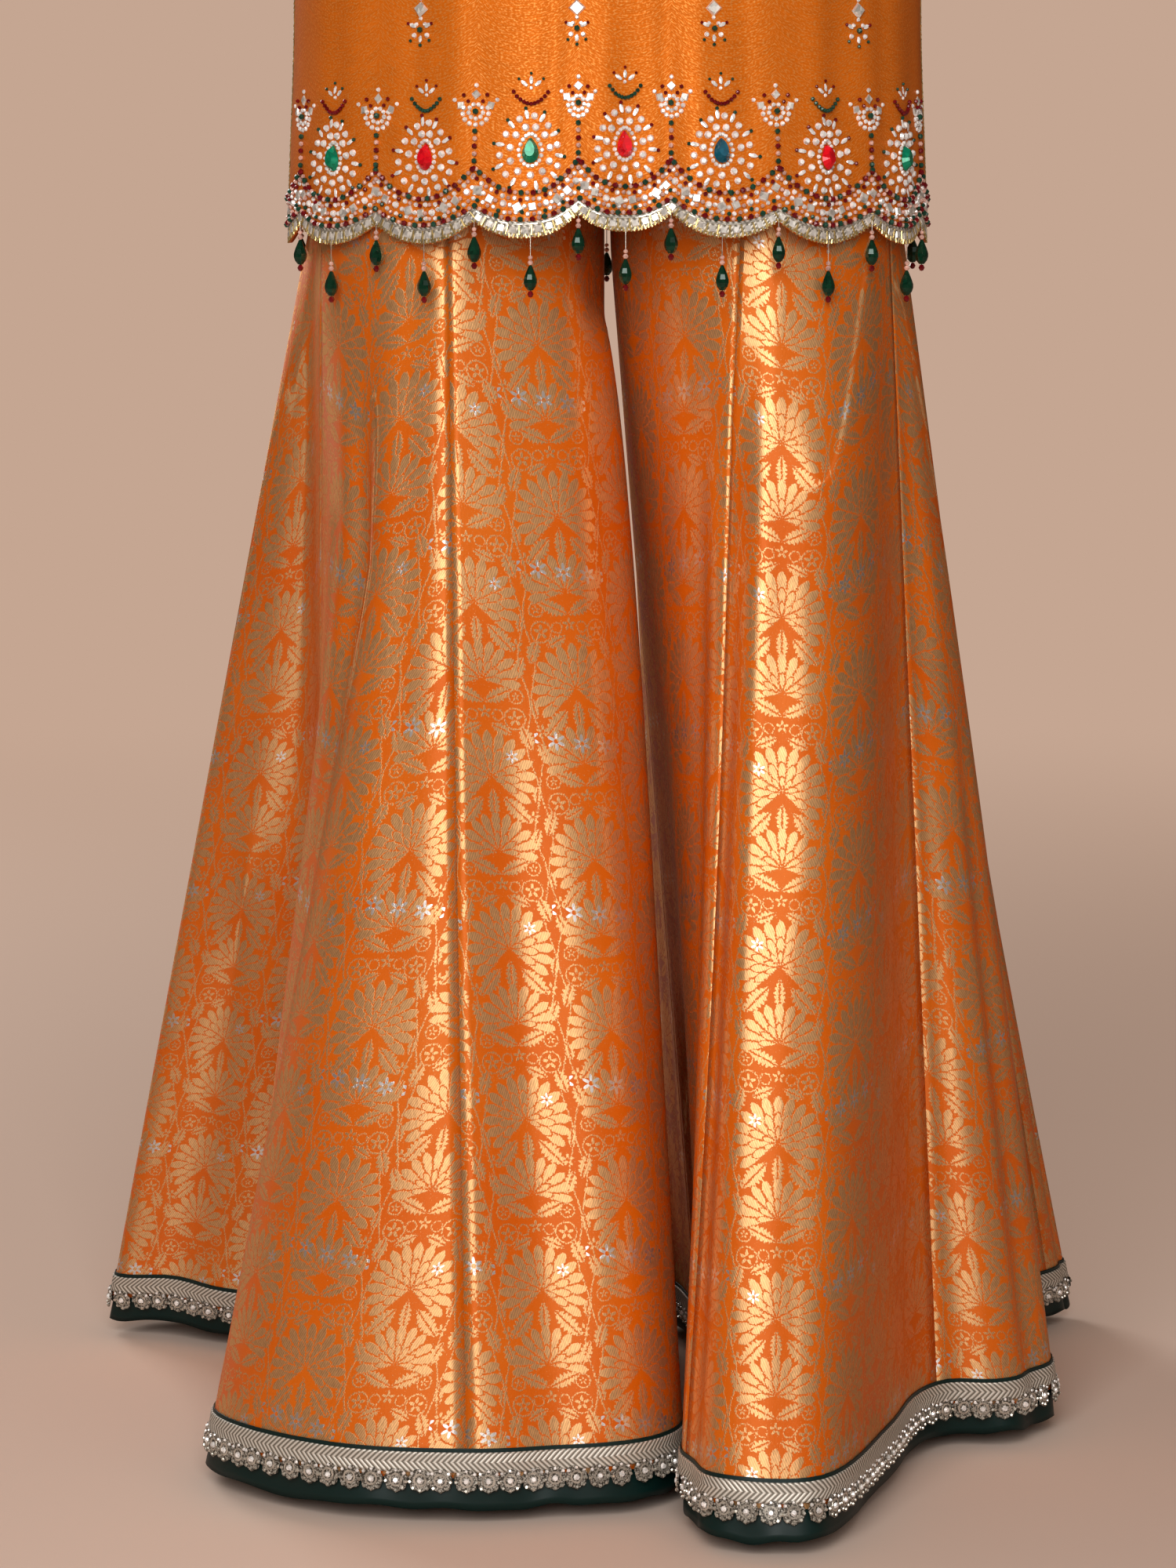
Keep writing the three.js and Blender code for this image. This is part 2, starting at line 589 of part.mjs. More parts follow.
// The beaded edge of the scallops, with the drops that hang from it.
function makeEdging(name, face) {
  const outer = [];
  const inner = [];
  const columns = SCALLOPS * STEPS_PER_SCALLOP;
  const middle = LAYER_GAP + EDGING_WALL / 2;
  for (let i = 0; i <= columns; i++) {
    const across = ((2 * i) / columns - 1) * 0.995;
    const outerColumn = [];
    const innerColumn = [];
    for (const above of [EDGING_LOW, EDGING_LOW + EDGING_TALL]) {
      const height = borderHeight(across, above);
      const base = tunicPoint(face, across, height);
      const normal = tunicNormal(face, across, height);
      outerColumn.push(base.clone().addScaledVector(normal, LAYER_GAP + EDGING_WALL));
      innerColumn.push(base.clone().addScaledVector(normal, LAYER_GAP));
    }
    outer.push(outerColumn);
    inner.push(innerColumn);
  }
  let edging = solidOf(wallBetween(outer, inner, false, false));
  for (let half = 1; half < 2 * SCALLOPS; half++) {
    const across = (half / SCALLOPS - 1) * 0.995;
    const length = half % 2 ? DROP_LENGTHS.cusp : DROP_LENGTHS.low;
    const height = borderHeight(across, EDGING_LOW);
    const at = tunicPoint(face, across, height).addScaledVector(tunicNormal(face, across, height), middle);
    const drop = dropGeometry(length, 3);
    drop.translate(at.x, at.y, at.z);
    edging = edging.add(solidOf(outwards(mergeVertices(withoutLooks(drop), 1e-4))));
  }
  addPiece(`edging_${name}`, geometryOf(edging), beadEdging);
}

function withoutLooks(geometry) {
  geometry.deleteAttribute('normal');
  geometry.deleteAttribute('uv');
  return geometry;
}

function makeNeckband() {
  const columns = [];
  const columnsAt = (face, from, to) => {
    for (let i = 0; i < NECKBAND_STEPS; i++) {
      const across = mix(from, to, i / NECKBAND_STEPS) * (NECK_COLUMNS / HALF_COLUMNS);
      columns.push({ face, across });
    }
  };
  columnsAt(FACES.front, -1, 1);
  columnsAt(FACES.back, 1, -1);
  const outer = [];
  const inner = [];
  for (const { face, across } of columns) {
    const edge = tunicTop(face, across);
    const base = tunicPoint(face, across, edge.height);
    const nearSeam = Math.abs(across) / (NECK_COLUMNS / HALF_COLUMNS);
    if (nearSeam > 0.999) base.y = 0;
    const centre = point(0, 0, SHOULDER_HEIGHT - 20);
    const inward = centre.clone().sub(base).setZ(0).normalize();
    const rise = new THREE.Vector3(0, 0, 1).addScaledVector(inward, 0.35).normalize();
    const foot = base.clone().addScaledVector(rise, 2 * SEAM_HALF_GAP + 0.2);
    const head = foot.clone().addScaledVector(rise, NECKBAND_TALL);
    outer.push([head, foot]);
    inner.push([head, foot].map((p) => p.clone().addScaledVector(inward, NECKBAND_WALL)));
  }
  addPiece('neckband', wallBetween(outer, inner, true, false), orangeSilk);
}

function makeSleeve(name, side) {
  const quarter = SLEEVE_STEPS_ROUND / 2;
  const firstArmhole = NECK_COLUMNS + SHOULDER_COLUMNS;
  const ellipse = (ring, angle) => new THREE.Vector3(ring.x, ring.y, ring.height - WAIST_HEIGHT)
    .addScaledVector(new THREE.Vector3(...ring.outer), Math.cos(angle))
    .addScaledVector(new THREE.Vector3(...ring.front), Math.sin(angle));
  const outer = [];
  const inner = [];
  for (let i = 0; i < SLEEVE_STEPS_ROUND; i++) {
    const onFront = i <= quarter;
    const down = (onFront ? i : SLEEVE_STEPS_ROUND - i) / quarter;
    const face = onFront ? FACES.front : FACES.back;
    const across = mix(firstArmhole, HALF_COLUMNS, down) / HALF_COLUMNS;
    const edge = tunicTop(face, across);
    const seam = tunicPoint(face, across, edge.height);
    const normal = tunicNormal(face, across, edge.height);
    if (i === 0 || i === quarter) seam.y = 0;
    if (i === 0 || i === quarter) normal.setY(0).normalize();
    const lapped = (SILK_WALL + LAYER_GAP) * smooth(clamp01((down - SLEEVE_LAPS_FROM) / 0.3));
    seam.add(new THREE.Vector3(SLEEVE_SEAM_GAP, 0, 0)).addScaledVector(normal, lapped);
    const angle = (i / SLEEVE_STEPS_ROUND) * 2 * Math.PI;
    const biceps = ellipse(SLEEVE_BICEPS, angle);
    const cuff = ellipse(SLEEVE_CUFF, angle);
    const outerColumn = [];
    const innerColumn = [];
    for (let j = 0; j <= SLEEVE_STEPS_LONG; j++) {
      const share = j / SLEEVE_STEPS_LONG;
      const bow = seam.clone().multiplyScalar((1 - share) ** 2)
        .addScaledVector(biceps, 2 * share * (1 - share)).addScaledVector(cuff, share ** 2);
      const axis = new THREE.Vector3(SLEEVE_BICEPS.x, 0, SLEEVE_BICEPS.height - WAIST_HEIGHT)
        .lerp(new THREE.Vector3(SLEEVE_CUFF.x, SLEEVE_CUFF.y, SLEEVE_CUFF.height - WAIST_HEIGHT), share);
      const away = bow.clone().sub(axis).normalize();
      const thick = away.lerp(normal, (1 - share) ** 6).normalize().multiplyScalar(SILK_WALL);
      outerColumn.push(bow.clone());
      innerColumn.push(bow.clone().sub(thick));
    }
    outer.push(outerColumn);
    inner.push(innerColumn);
  }
  const geometry = wallBetween(outer, inner, true, false);
  if (side < 0) geometry.scale(-1, 1, 1);
  addPiece(`sleeve_${name}`, outwards(geometry), orangeSilk);
}

makeLeg('right', RIGHT_LEG);
makeLeg('left', LEFT_LEG);
makeWaistband();
makeTunicPanel('front', FACES.front);
makeTunicPanel('back', FACES.back);
makeNeckband();
makeSleeve('right', -1);
makeSleeve('left', 1);
makeEdging('front', FACES.front);
makeEdging('back', FACES.back);

export default suit;
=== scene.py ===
# A palazzo suit as it is worn: a beaded silk tunic over wide brocade trousers.
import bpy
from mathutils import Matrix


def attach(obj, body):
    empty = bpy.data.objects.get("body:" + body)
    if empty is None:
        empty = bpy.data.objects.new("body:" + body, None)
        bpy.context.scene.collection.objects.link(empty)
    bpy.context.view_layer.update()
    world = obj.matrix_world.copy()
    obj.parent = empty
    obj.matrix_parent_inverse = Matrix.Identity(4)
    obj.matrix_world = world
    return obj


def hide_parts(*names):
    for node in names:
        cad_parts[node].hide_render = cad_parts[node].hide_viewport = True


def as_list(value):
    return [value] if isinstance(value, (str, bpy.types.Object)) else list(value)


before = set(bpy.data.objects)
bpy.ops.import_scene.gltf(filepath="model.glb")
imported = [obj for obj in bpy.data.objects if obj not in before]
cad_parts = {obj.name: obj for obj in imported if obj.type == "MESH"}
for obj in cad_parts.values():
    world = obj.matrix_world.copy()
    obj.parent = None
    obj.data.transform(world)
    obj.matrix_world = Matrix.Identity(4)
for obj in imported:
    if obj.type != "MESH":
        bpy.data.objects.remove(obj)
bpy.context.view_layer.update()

import bisect
import functools
import math
import random

import bmesh
import bpy
import numpy as np
from mathutils import Matrix, Vector

mm = 0.001
waistHeight = 1090  # the frame's z is 0 here; heights below are in mm above the floor


def table(names, *rows):
    return [dict(zip(names.split(), row)) for row in rows]


def mix(a, b, share):
    return a + (b - a) * share


def clamp01(value):
    return min(max(value, 0.0), 1.0)


def smooth(value):
    value = clamp01(value)
    return value * value * (3 - 2 * value)


def spot(x, y, height):
    return Vector((x, y, height - waistHeight)) * mm


def sectionAt(sections, height, column):
    if height <= sections[0]["height"]:
        return sections[0][column]
    for low, high in zip(sections, sections[1:]):
        if height < high["height"]:
            share = smooth((height - low["height"]) / (high["height"] - low["height"]))
            return mix(low[column], high[column], share)
    return sections[-1][column]


# Cloth

def clothGrid(name, size, pointAt, wall=0.0, flip=False, ring=False, band=False):
    columns, rows = size
    bm = bmesh.new()
    weave = bm.loops.layers.uv.new("cloth")
    bmesh.ops.create_grid(bm, x_segments=columns, y_segments=rows, size=0.5)
    place = {vert: (round((vert.co.x + 0.5) * columns), round((vert.co.y + 0.5) * rows)) for vert in bm.verts}
    grid = {at: vert for vert, at in place.items()}
    for (i, j), vert in grid.items():
        vert.co = pointAt(i / columns, j / rows)
    flat = unrolled(grid, columns, rows, band)  # where each point lay on the flat cloth
    for face in bm.faces:
        for loop in face.loops:
            loop[weave].uv = flat[place[loop.vert]]
    area = sum(face.calc_area() for face in bm.faces)
    if ring:
        bmesh.ops.remove_doubles(bm, verts=bm.verts, dist=1e-5)
    if flip:
        bmesh.ops.reverse_faces(bm, faces=bm.faces)
    piece = pieceFrom(bm, name)
    if wall:
        thick = piece.modifiers.new("wall", "SOLIDIFY")
        thick.thickness = wall * mm
        thick.offset = -1
    widths = [flat[columns, j][0] - flat[0, j][0] for j in range(rows + 1)]
    lengths = [flat[i, rows][1] for i in range(columns + 1)]
    piece["flatSize"] = (max(widths), max(lengths), min(area, 0.999 * max(widths) * max(lengths)))
    return piece


# Metres across from the middle column and up from the lowest row, as they were before the cloth was curved.
# A band of trimming is worked in straight, so its rows all have the length of the middle one.
def unrolled(grid, columns, rows, band):
    leastRise = 0.2  # share of a step that counts as up, however far the rows shear
    flat = {}
    for j in range(rows + 1):
        run = [0.0]
        row = rows // 2 if band else j
        for i in range(1, columns + 1):
            run.append(run[-1] + (grid[i, row].co - grid[i - 1, row].co).length)
        for i in range(columns + 1):
            across = run[i] - run[columns // 2]
            up = 0.0
            if j:
                before = flat[i, j - 1]
                step = (grid[i, j].co - grid[i, j - 1].co).length
                rise = max(step ** 2 - (across - before[0]) ** 2, (leastRise * step) ** 2)
                up = before[1] + math.sqrt(rise)
            flat[i, j] = (across, up)
    return flat


def pieceFrom(bm, name):
    mesh = bpy.data.meshes.new(name)
    bm.to_mesh(mesh)
    bm.free()
    mesh.polygons.foreach_set("use_smooth", [True] * len(mesh.polygons))
    piece = bpy.data.objects.new(name, mesh)
    bpy.context.collection.objects.link(piece)
    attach(piece, "root")
    return piece


def dress(piece, material, slotName, *nodes, held=None, restsOn=(), sewnOn=()):
    piece.data.materials.append(material)
    if nodes:
        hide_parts(*nodes)
    if held:
        width, length, area = piece["flatSize"]
        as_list(restsOn)
        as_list(sewnOn)


# Materials

def linear(hexColour):
    channels = [int(hexColour[i:i + 2], 16) / 255 for i in (1, 3, 5)]
    return [c / 12.92 if c <= 0.04045 else ((c + 0.055) / 1.055) ** 2.4 for c in channels] + [1.0]


# A new material, with functions that add a node to it and fill its shader's sockets
def newMaterial(name):
    material = bpy.data.materials.new(name)
    material.use_nodes = True
    return material, functools.partial(knot, material), functools.partial(fill, material)


def fill(material, sockets):
    shader = material.node_tree.nodes["Principled BSDF"]
    for name, value in sockets.items():
        if isinstance(value, bpy.types.NodeSocket):
            material.node_tree.links.new(value, shader.inputs[name])
        else:
            shader.inputs[name].default_value = value


# Adds a node with its settings and links, and gives back its first output.
# A kind in small letters is an operation of the Math node.
def knot(material, kind, *links, **settings):
    node = material.node_tree.nodes.new("ShaderNodeMath" if kind.islower() else "ShaderNode" + kind)
    if kind.islower():
        node.operation = kind.upper()
    for name, value in settings.items():
        setattr(node, name, value)
    for socket, value in zip(node.inputs, links):
        if isinstance(value, bpy.types.NodeSocket):
            material.node_tree.links.new(value, socket)
        elif value is not None:
            socket.default_value = value
    return node.outputs[0]


# One repeat of the brocade, in mm: half-drop columns of a lotus over a leafy stem,
# with ringed flowers and feathered leaves between, and silver flowers on top.
brocadeDesign = {
    "column": 62,
    "repeat": 112,
    "fans": table(
        "y spread line point rows",
        (9, 2.35, 0.6, 2.2, ((0, 10, 7), (10, 19, 11), (19, 30, 15))),
        (-40, 1.9, 0.7, 1.7, ((1, 13, 7), (13, 26, 11))),
    ),
    "petalRound": 1.8,
    "edge": 0.45,
    "steps": {"across": 900, "up": 700, "deep": 3.4},
    "strays": {"above": 0.66, "sharp": 7.0, "bright": 0.7},
    "vine": {"x": 28, "sway": 2.6, "turns": 56, "wide": 1.3},
    "rings": table("x y radius line", (19.5, 46.5, 6.8, 1.2), (21.5, -51, 4.6, 1.2), (8.5, 49, 3.4, 1.1)),
    "blossoms": table(
        "x y radius petals", (19.5, 46.5, 5.2, 5), (21.5, -51, 3.0, 5), (0, 51, 4.4, 5), (25, -18, 4.6, 5),
    ),
    "leaves": table(
        "x y long wide turn teeth",
        (15, -13, 12, 6, -42, 4), (0, -9, 11, 4.2, 0, 4), (10, -50, 11, 5, 66, 4), (25, -33, 9, 4.6, 24, 3),
        (26, 34, 9, 5, -20, 3), (29, -3, 7, 3.4, 10, 3), (10, 40, 8, 4, -64, 3),
    ),
    "silverTrio": {"y": -27, "step": 17, "rise": 2.4, "radius": 6.4},
    "silverOne": {"x": -15, "y": 22, "radius": 4.6, "petals": 6},
}


def brocadeFigure(add):
    cloth = add("UVMap")
    u, v = add("SeparateXYZ", cloth).node.outputs[:2]
    column, repeat = brocadeDesign["column"], brocadeDesign["repeat"]
    across = add("multiply", u, 1000 / column)
    number = add("floor", across)
    odd = add("floored_modulo", number, 2)
    x = add("multiply_add", add("subtract", across, number), column, -column / 2)
    y = add("fract", add("multiply_add", odd, 0.5, add("multiply", v, 1000 / repeat)))
    y = add("multiply_add", y, repeat, -repeat / 2)
    mirrored = add("absolute", x)
    point = add("CombineXYZ", mirrored, y, 0.0)

    # every edge is the mm that a point lies outside a shape, so the nearest shape is the smallest edge
    vine = brocadeDesign["vine"]
    wave = add("cosine", add("multiply", y, 2 * math.pi / vine["turns"]))
    sway = add("multiply_add", wave, vine["sway"], vine["x"])
    edge = add("subtract", add("absolute", add("subtract", mirrored, sway)), vine["wide"] / 2)
    for fan in brocadeDesign["fans"]:
        rise = add("subtract", y, fan["y"])
        reach = add("sqrt", add("multiply_add", x, x, add("multiply", rise, rise)))
        turn = add("arctan2", x, rise)
        line = fan["line"]
        covered = fan["rows"][0][0]
        petals = 1e3
        for inner, outer, count in fan["rows"]:
            share = add("multiply", turn, count / (2 * fan["spread"]))
            # 0 in a petal's middle and 0.5 between two petals
            fromMiddle = add("absolute", add("subtract", share, add("round", share)))
            rounded = add("power", fromMiddle, brocadeDesign["petalRound"])
            tip = fan["point"] * (outer - inner)
            pointed = add("multiply_add", rounded, tip, reach)
            toSide = add("multiply_add", fromMiddle, -2 * fan["spread"] / count, fan["spread"] / count)
            pastSide = add("multiply_add", toSide, add("multiply", reach, -1), line / 2)
            hidden = add("subtract", covered, reach)
            row = add("maximum", add("maximum", add("subtract", pointed, outer), pastSide), hidden)
            petals = add("minimum", petals, row)
            covered = add("multiply_add", rounded, -tip, outer + line)
        past = add("multiply", add("subtract", add("absolute", turn), fan["spread"]), reach)
        edge = add("minimum", edge, add("maximum", petals, past))
    for ring in brocadeDesign["rings"]:
        centre = (ring["x"], ring["y"], 0)
        radius = add("VectorMath", point, centre, operation="DISTANCE").node.outputs["Value"]
        off = add("absolute", add("subtract", radius, ring["radius"]))
        edge = add("minimum", edge, add("subtract", off, ring["line"] / 2))
    for bloom in brocadeDesign["blossoms"]:
        edge = add("minimum", edge, blossomEdge(add, point, bloom))
    for leaf in brocadeDesign["leaves"]:
        moved = add("VectorMath", point, (leaf["x"], leaf["y"], 0), operation="SUBTRACT")
        turned = add("VectorRotate", moved, None, None, math.radians(leaf["turn"]), rotation_type="Z_AXIS")
        side, along = add("SeparateXYZ", turned).node.outputs[:2]
        side = add("absolute", side)
        squared = add("multiply", along, along)
        widest = add("multiply_add", squared, -leaf["wide"] / leaf["long"] ** 2, leaf["wide"])
        lobe = add("absolute", add("sine", add("multiply", along, math.pi * leaf["teeth"] / leaf["long"])))
        half = add("multiply", widest, add("multiply_add", lobe, 0.4, 0.6))
        shape = add("maximum", add("subtract", side, half), add("subtract", 0.3, side))
        edge = add("minimum", edge, shape)
    # the weave steps in and out of each outline, drawn coarser than its real 0.3 mm
    grain, strays = brocadeDesign["steps"], brocadeDesign["strays"]
    steps = add("Mapping", cloth, None, None, (grain["across"], grain["up"], 1))
    steps = add("TexNoise", steps, None, 1.0, 1.0)
    frayed = add("multiply_add", add("subtract", steps, 0.5), grain["deep"], edge)
    figure = add("multiply", frayed, -1 / brocadeDesign["edge"], use_clamp=True)
    # stray floats of gold thread on the ground
    stray = add("multiply", add("subtract", steps, strays["above"]), strays["sharp"], use_clamp=True)
    figure = add("maximum", figure, add("multiply", stray, strays["bright"]))

    trio = brocadeDesign["silverTrio"]
    place = add("round", add("divide", x, trio["step"]))
    nearX = add("multiply_add", place, -trio["step"], x)
    nearY = add("subtract", y, add("multiply_add", place, trio["rise"], trio["y"]))
    near = add("CombineXYZ", nearX, nearY, 0.0)
    three = blossomEdge(add, near, {"x": 0, "y": 0, "radius": trio["radius"], "petals": 6})
    one = blossomEdge(add, add("CombineXYZ", x, y, 0.0), brocadeDesign["silverOne"])
    silver = add("multiply", add("add", three, add("multiply", odd, add("subtract", one, three))),
                 -1 / brocadeDesign["edge"], use_clamp=True)
    return figure, silver, u, v


# How many mm a point lies outside a small flower with an open heart
def blossomEdge(add, point, bloom):
    centre = (bloom["x"], bloom["y"], 0)
    moved = add("SeparateXYZ", add("VectorMath", point, centre, operation="SUBTRACT")).node.outputs
    radius = add("VectorMath", point, centre, operation="DISTANCE").node.outputs["Value"]
    wave = add("cosine", add("multiply", add("arctan2", moved[0], moved[1]), bloom["petals"]))
    tip = add("multiply_add", wave, 0.34 * bloom["radius"], 0.66 * bloom["radius"])
    return add("maximum", add("subtract", radius, tip), add("subtract", 0.22 * bloom["radius"], radius))


# Silk brocade, jacquard woven: a satin ground that glows orange and a figure in flat gold thread
# that flashes where it faces the light and sinks to brown where it turns away.
def makeBrocade():
    material, add, fill = newMaterial("silk brocade")
    figure, silver, u, v = brocadeFigure(add)
    cloth = add("UVMap")
    stains = add("TexNoise", cloth, None, 9.0, 2.0)
    ground = add("MixRGB", add("multiply", add("subtract", stains, 0.35), 1.6, use_clamp=True),
                 linear("#D85F04"), linear("#E27414"))
    # gold threads 0.4 mm apart, drawn 1.6 mm apart so that they show
    threads = add("sine", add("multiply", add("multiply_add", v, 0.45, u), 2 * math.pi / (1.6 * mm)))
    fleck = add("TexNoise", add("Mapping", cloth, None, None, (700, 260, 1)), None, 1.0, 2.0)
    lit = add("multiply_add", threads, 0.16, add("multiply_add", fleck, 0.6, 0.62))
    gold = add("MixRGB", 1.0, linear("#F5BC80"), lit, blend_type="MULTIPLY")
    metal = add("maximum", add("multiply", figure, 0.62), add("multiply", silver, 0.8))
    relief = add("multiply_add", figure, 0.6, add("multiply", fleck, 0.5))
    fill({
        "Base Color": add("MixRGB", silver, add("MixRGB", figure, ground, gold), linear("#F4EEE8")),
        "Metallic": add("multiply_add", metal, 1.0, 0.12, use_clamp=True),
        "Roughness": add("multiply_add", metal, -0.08, 0.52),
        "Specular IOR Level": 0.85,
        "Specular Tint": linear("#FFC79A"),  # light off dyed silk comes back warm
        # the flat gold threads run across, so their shine spreads up and down into long bands
        "Anisotropic": 0.8,
        "Anisotropic Rotation": 0.25,
        "Normal": add("Bump", 0.35, 0.4 * mm, None, relief),
    })
    return material


# Tissue silk: orange silk crossed with a fine gold thread, which glitters as grains
# and pales softly where a drape faces the light.
def makeTissueSilk():
    material, add, fill = newMaterial("tissue silk")
    # threads 0.2 mm apart, drawn 1 mm apart so that they show
    cloth = add("UVMap")
    grains = add("TexNoise", add("Mapping", cloth, None, None, (520, 900, 1)), None, 1.0, 2.0)
    slubs = add("TexNoise", add("Mapping", cloth, None, None, (60, 900, 1)), None, 1.0, 2.0)
    patches = add("TexNoise", cloth, None, 14.0, 2.0)
    gold = add("multiply", add("subtract", grains, 0.48), 3.4, use_clamp=True)
    tone = add("multiply_add", patches, 0.3, add("multiply_add", slubs, 0.5, 0.6))
    ground = add("MixRGB", 1.0, linear("#D0660F"), tone, blend_type="MULTIPLY")
    fill({
        "Base Color": add("MixRGB", add("multiply", gold, 0.75), ground, linear("#F6B060")),
        "Metallic": add("multiply_add", gold, 0.55, 0.12),
        "Roughness": 0.46,
        "Specular IOR Level": 0.3,
        "Specular Tint": linear("#FFB878"),
        "Normal": add("Bump", 0.35, 0.3 * mm, None, add("add", grains, slubs)),
    })
    return material


# Satin: smooth dark green with a soft shine along its folds
def makeSatin():
    material, add, fill = newMaterial("green satin")
    fill({"Base Color": linear("#04211E"), "Roughness": 0.42, "Specular IOR Level": 0.35})
    return material


# Silver thread: a greyed metal braid, its plait drawn as slanting ridges, with painted shade in the grooves
# between them
def makeLaceThread():
    material, add, fill = newMaterial("silver thread")
    plaitPitch, bandMiddle = 3.8 * mm, 6.5 * mm
    split = add("SeparateXYZ", add("UVMap")).node.outputs
    bent = add("absolute", add("subtract", split[1], bandMiddle))
    slant = add("multiply", add("add", split[0], bent), 2 * math.pi / plaitPitch)
    plait = add("multiply_add", add("sine", slant), 0.5, 0.5)
    fill({
        # painted shade: the base colour darkens in the grooves between the plait's ridges
        "Base Color": add("MixRGB", plait, linear("#6E6658"), linear("#E8E1D4")),
        "Metallic": 0.3,
        "Roughness": 0.42,
        "Normal": add("Bump", 0.6, 0.6 * mm, None, plait),
    })
    return material


# Looped silver thread: the lace's scallops, small coils, light in their middles and with painted shade in the
# gaps between
def makeLoopedThread():
    material, add, fill = newMaterial("looped silver thread")
    # coils 1.2 mm apart
    coils = add("TexVoronoi", add("TexCoord").node.outputs["Object"], None, 830.0)
    # painted shade: darker with distance from each coil's middle
    shade = add("multiply", coils, 1.5, use_clamp=True)
    fill({
        "Base Color": add("MixRGB", shade, linear("#DCD4C6"), linear("#3E382E")),
        "Metallic": 0.3,
        "Roughness": 0.4,
    })
    return material


# Trousers

trousers = {
    "crotch": 870,
    "crotchCurve": 95,
    "hem": 32,
    "waistbandTall": 42,
    "wall": 1.4,
    "seamHalfGap": 0.2,
    "columnsPerFold": 8,
    "rows": 100,
    "hips": table(
        "height halfWidth front back",
        (870, 193, 114, 118),
        (930, 186, 119, 136),
        (1000, 170, 115, 133.3),
        (1050, 149, 107, 112),
        (1090, 140, 103, 104),
    ),
    "panels": table(
        "name start end",
        ("inner_front", 0, 4),
        ("outer_front", 4, 8),
        ("side", 8, 13),
        ("outer_back", 13, 19),
        ("inner_back", 19, 24),
    ),
}
# One row for each ridge, valley or seam round a leg: its angle on the thigh, its place at the hem,
# the share of the leg that hangs straight before it flares, and below 1 a bow that flares sooner.
# Creases are soft ridges, or troughs where out is below 0, that drift by lean on their way down.
rightLeg = {
    "name": "right", "side": -1, "thighX": -100, "halfWidth": 98, "halfDepth": 106,
    "folds": table(
        "angle x y start bow",
        (-90, 14, 80, 0.1, 1), (-68, 47, -62, 0.1, 0.5), (-45, 44, -128, 0.02, 0.85),
        (-22, -15, -174, 0.05, 1), (2, -92, -182, 0.04, 1), (18, -180, -162, 0.1, 1),
        (34, -266, -78, 0.3, 1), (50, -252, 25, 0.26, 1), (65, -206, 150, 0.1, 1), (73, -232, 268, 0.05, 1),
        (81, -306, 292, 0.04, 1), (90, -374, 328, 0.03, 1), (98, -330, 378, 0.07, 1),
        (107, -232, 338, 0.11, 1), (120, -222, 376, 0.11, 1), (132, -160, 410, 0.11, 1),
        (144, -92, 393, 0.11, 1), (156, -86, 343, 0.11, 1), (168, -45, 364, 0.11, 1),
        (180, -2, 389, 0.11, 1), (200, 12, 378, 0.11, 1), (218, -10, 318, 0.11, 1), (236, 10, 235, 0.12, 1),
        (253, -2, 155, 0.12, 1),
    ),
    "creases": table(
        "place wide out top low lean",
        (2.4, 0.4, 6, 760, -200, 0.2), (3.3, 0.45, -13, 580, -150, -0.25), (4.2, 0.4, 4, 820, 100, 0.1),
        (5.4, 0.6, 10, 840, -200, 0.1), (6.4, 0.4, -9, 740, -100, 0.1), (7.1, 0.3, 5, 500, -200, 0.1),
        (8.7, 0.25, -7, 480, -200, -0.1), (9.5, 0.35, 8, 600, -200, 0.2), (10.3, 0.3, -8, 430, -150, 0.2),
        (12.3, 0.35, 7, 700, -100, 0.2), (13.6, 0.3, -8, 560, -200, -0.2), (15.1, 0.4, 8, 760, 60, 0.25),
        (16.4, 0.3, -8, 500, -150, 0.1), (17.7, 0.35, 8, 640, -200, -0.3), (19.2, 0.3, -8, 720, 100, 0.2),
        (20.6, 0.4, 7, 580, -200, 0.1), (21.8, 0.3, -8, 450, -150, -0.15), (23.1, 0.3, 5, 600, -100, 0.1),
    ),
}
leftLeg = {
    "name": "left", "side": 1, "thighX": 99, "halfWidth": 97, "halfDepth": 106,
    "folds": table(
        "angle x y start bow",
        (-90, 68, 170, 0.05, 1), (-69, 78, 70, 0.05, 1), (-48, 66, -20, 0.05, 1), (-28, 60, -110, 0.05, 1),
        (-8, 46, -190, 0.05, 1), (8, 74, -243, 0.04, 1), (26, 135, -246, 0.04, 1), (45, 182, -120, 0.04, 1),
        (63, 228, -5, 0.04, 1), (74, 290, 14, 0.04, 1), (84, 313, 80, 0.03, 1), (92, 243, 190, 0.08, 1),
        (100, 275, 292, 0.07, 1), (108, 338, 336, 0.08, 1), (117, 357, 376, 0.08, 1),
        (128, 312, 391, 0.11, 1), (140, 252, 348, 0.11, 1), (153, 246, 382, 0.11, 1),
        (166, 200, 415, 0.11, 1), (180, 148, 401, 0.11, 1), (197, 150, 352, 0.11, 1),
        (214, 96, 392, 0.11, 1), (232, 36, 352, 0.11, 1), (252, 64, 272, 0.08, 1),
    ),
    "creases": table(
        "place wide out top low lean",
        (3.2, 0.35, -5, 780, 100, 0.1), (4.2, 0.35, -8, 720, -150, 0.2), (4.9, 0.35, 5, 820, -200, 0.1),
        (5.7, 0.25, -5, 430, -150, -0.25), (6.65, 0.7, 11, 840, -60, 0.1), (7.6, 0.3, -3, 660, -200, 0.1),
        (8.5, 0.3, 7, 560, -150, 0.2), (9.3, 0.25, -8, 520, -150, -0.1), (10.2, 0.3, 5, 640, 0, 0.1),
        (12.4, 0.35, 7, 660, -120, 0.2), (13.7, 0.3, -8, 580, -200, -0.15), (15.0, 0.4, 7, 740, 40, 0.2),
        (16.3, 0.3, -8, 520, -150, 0.15), (17.6, 0.35, 7, 620, -200, -0.25), (19.1, 0.3, -8, 700, 80, 0.2),
        (20.7, 0.4, 7, 560, -200, 0.1), (21.9, 0.3, -7, 470, -150, -0.1), (23.0, 0.3, 5, 640, -100, 0.1),
    ),
}


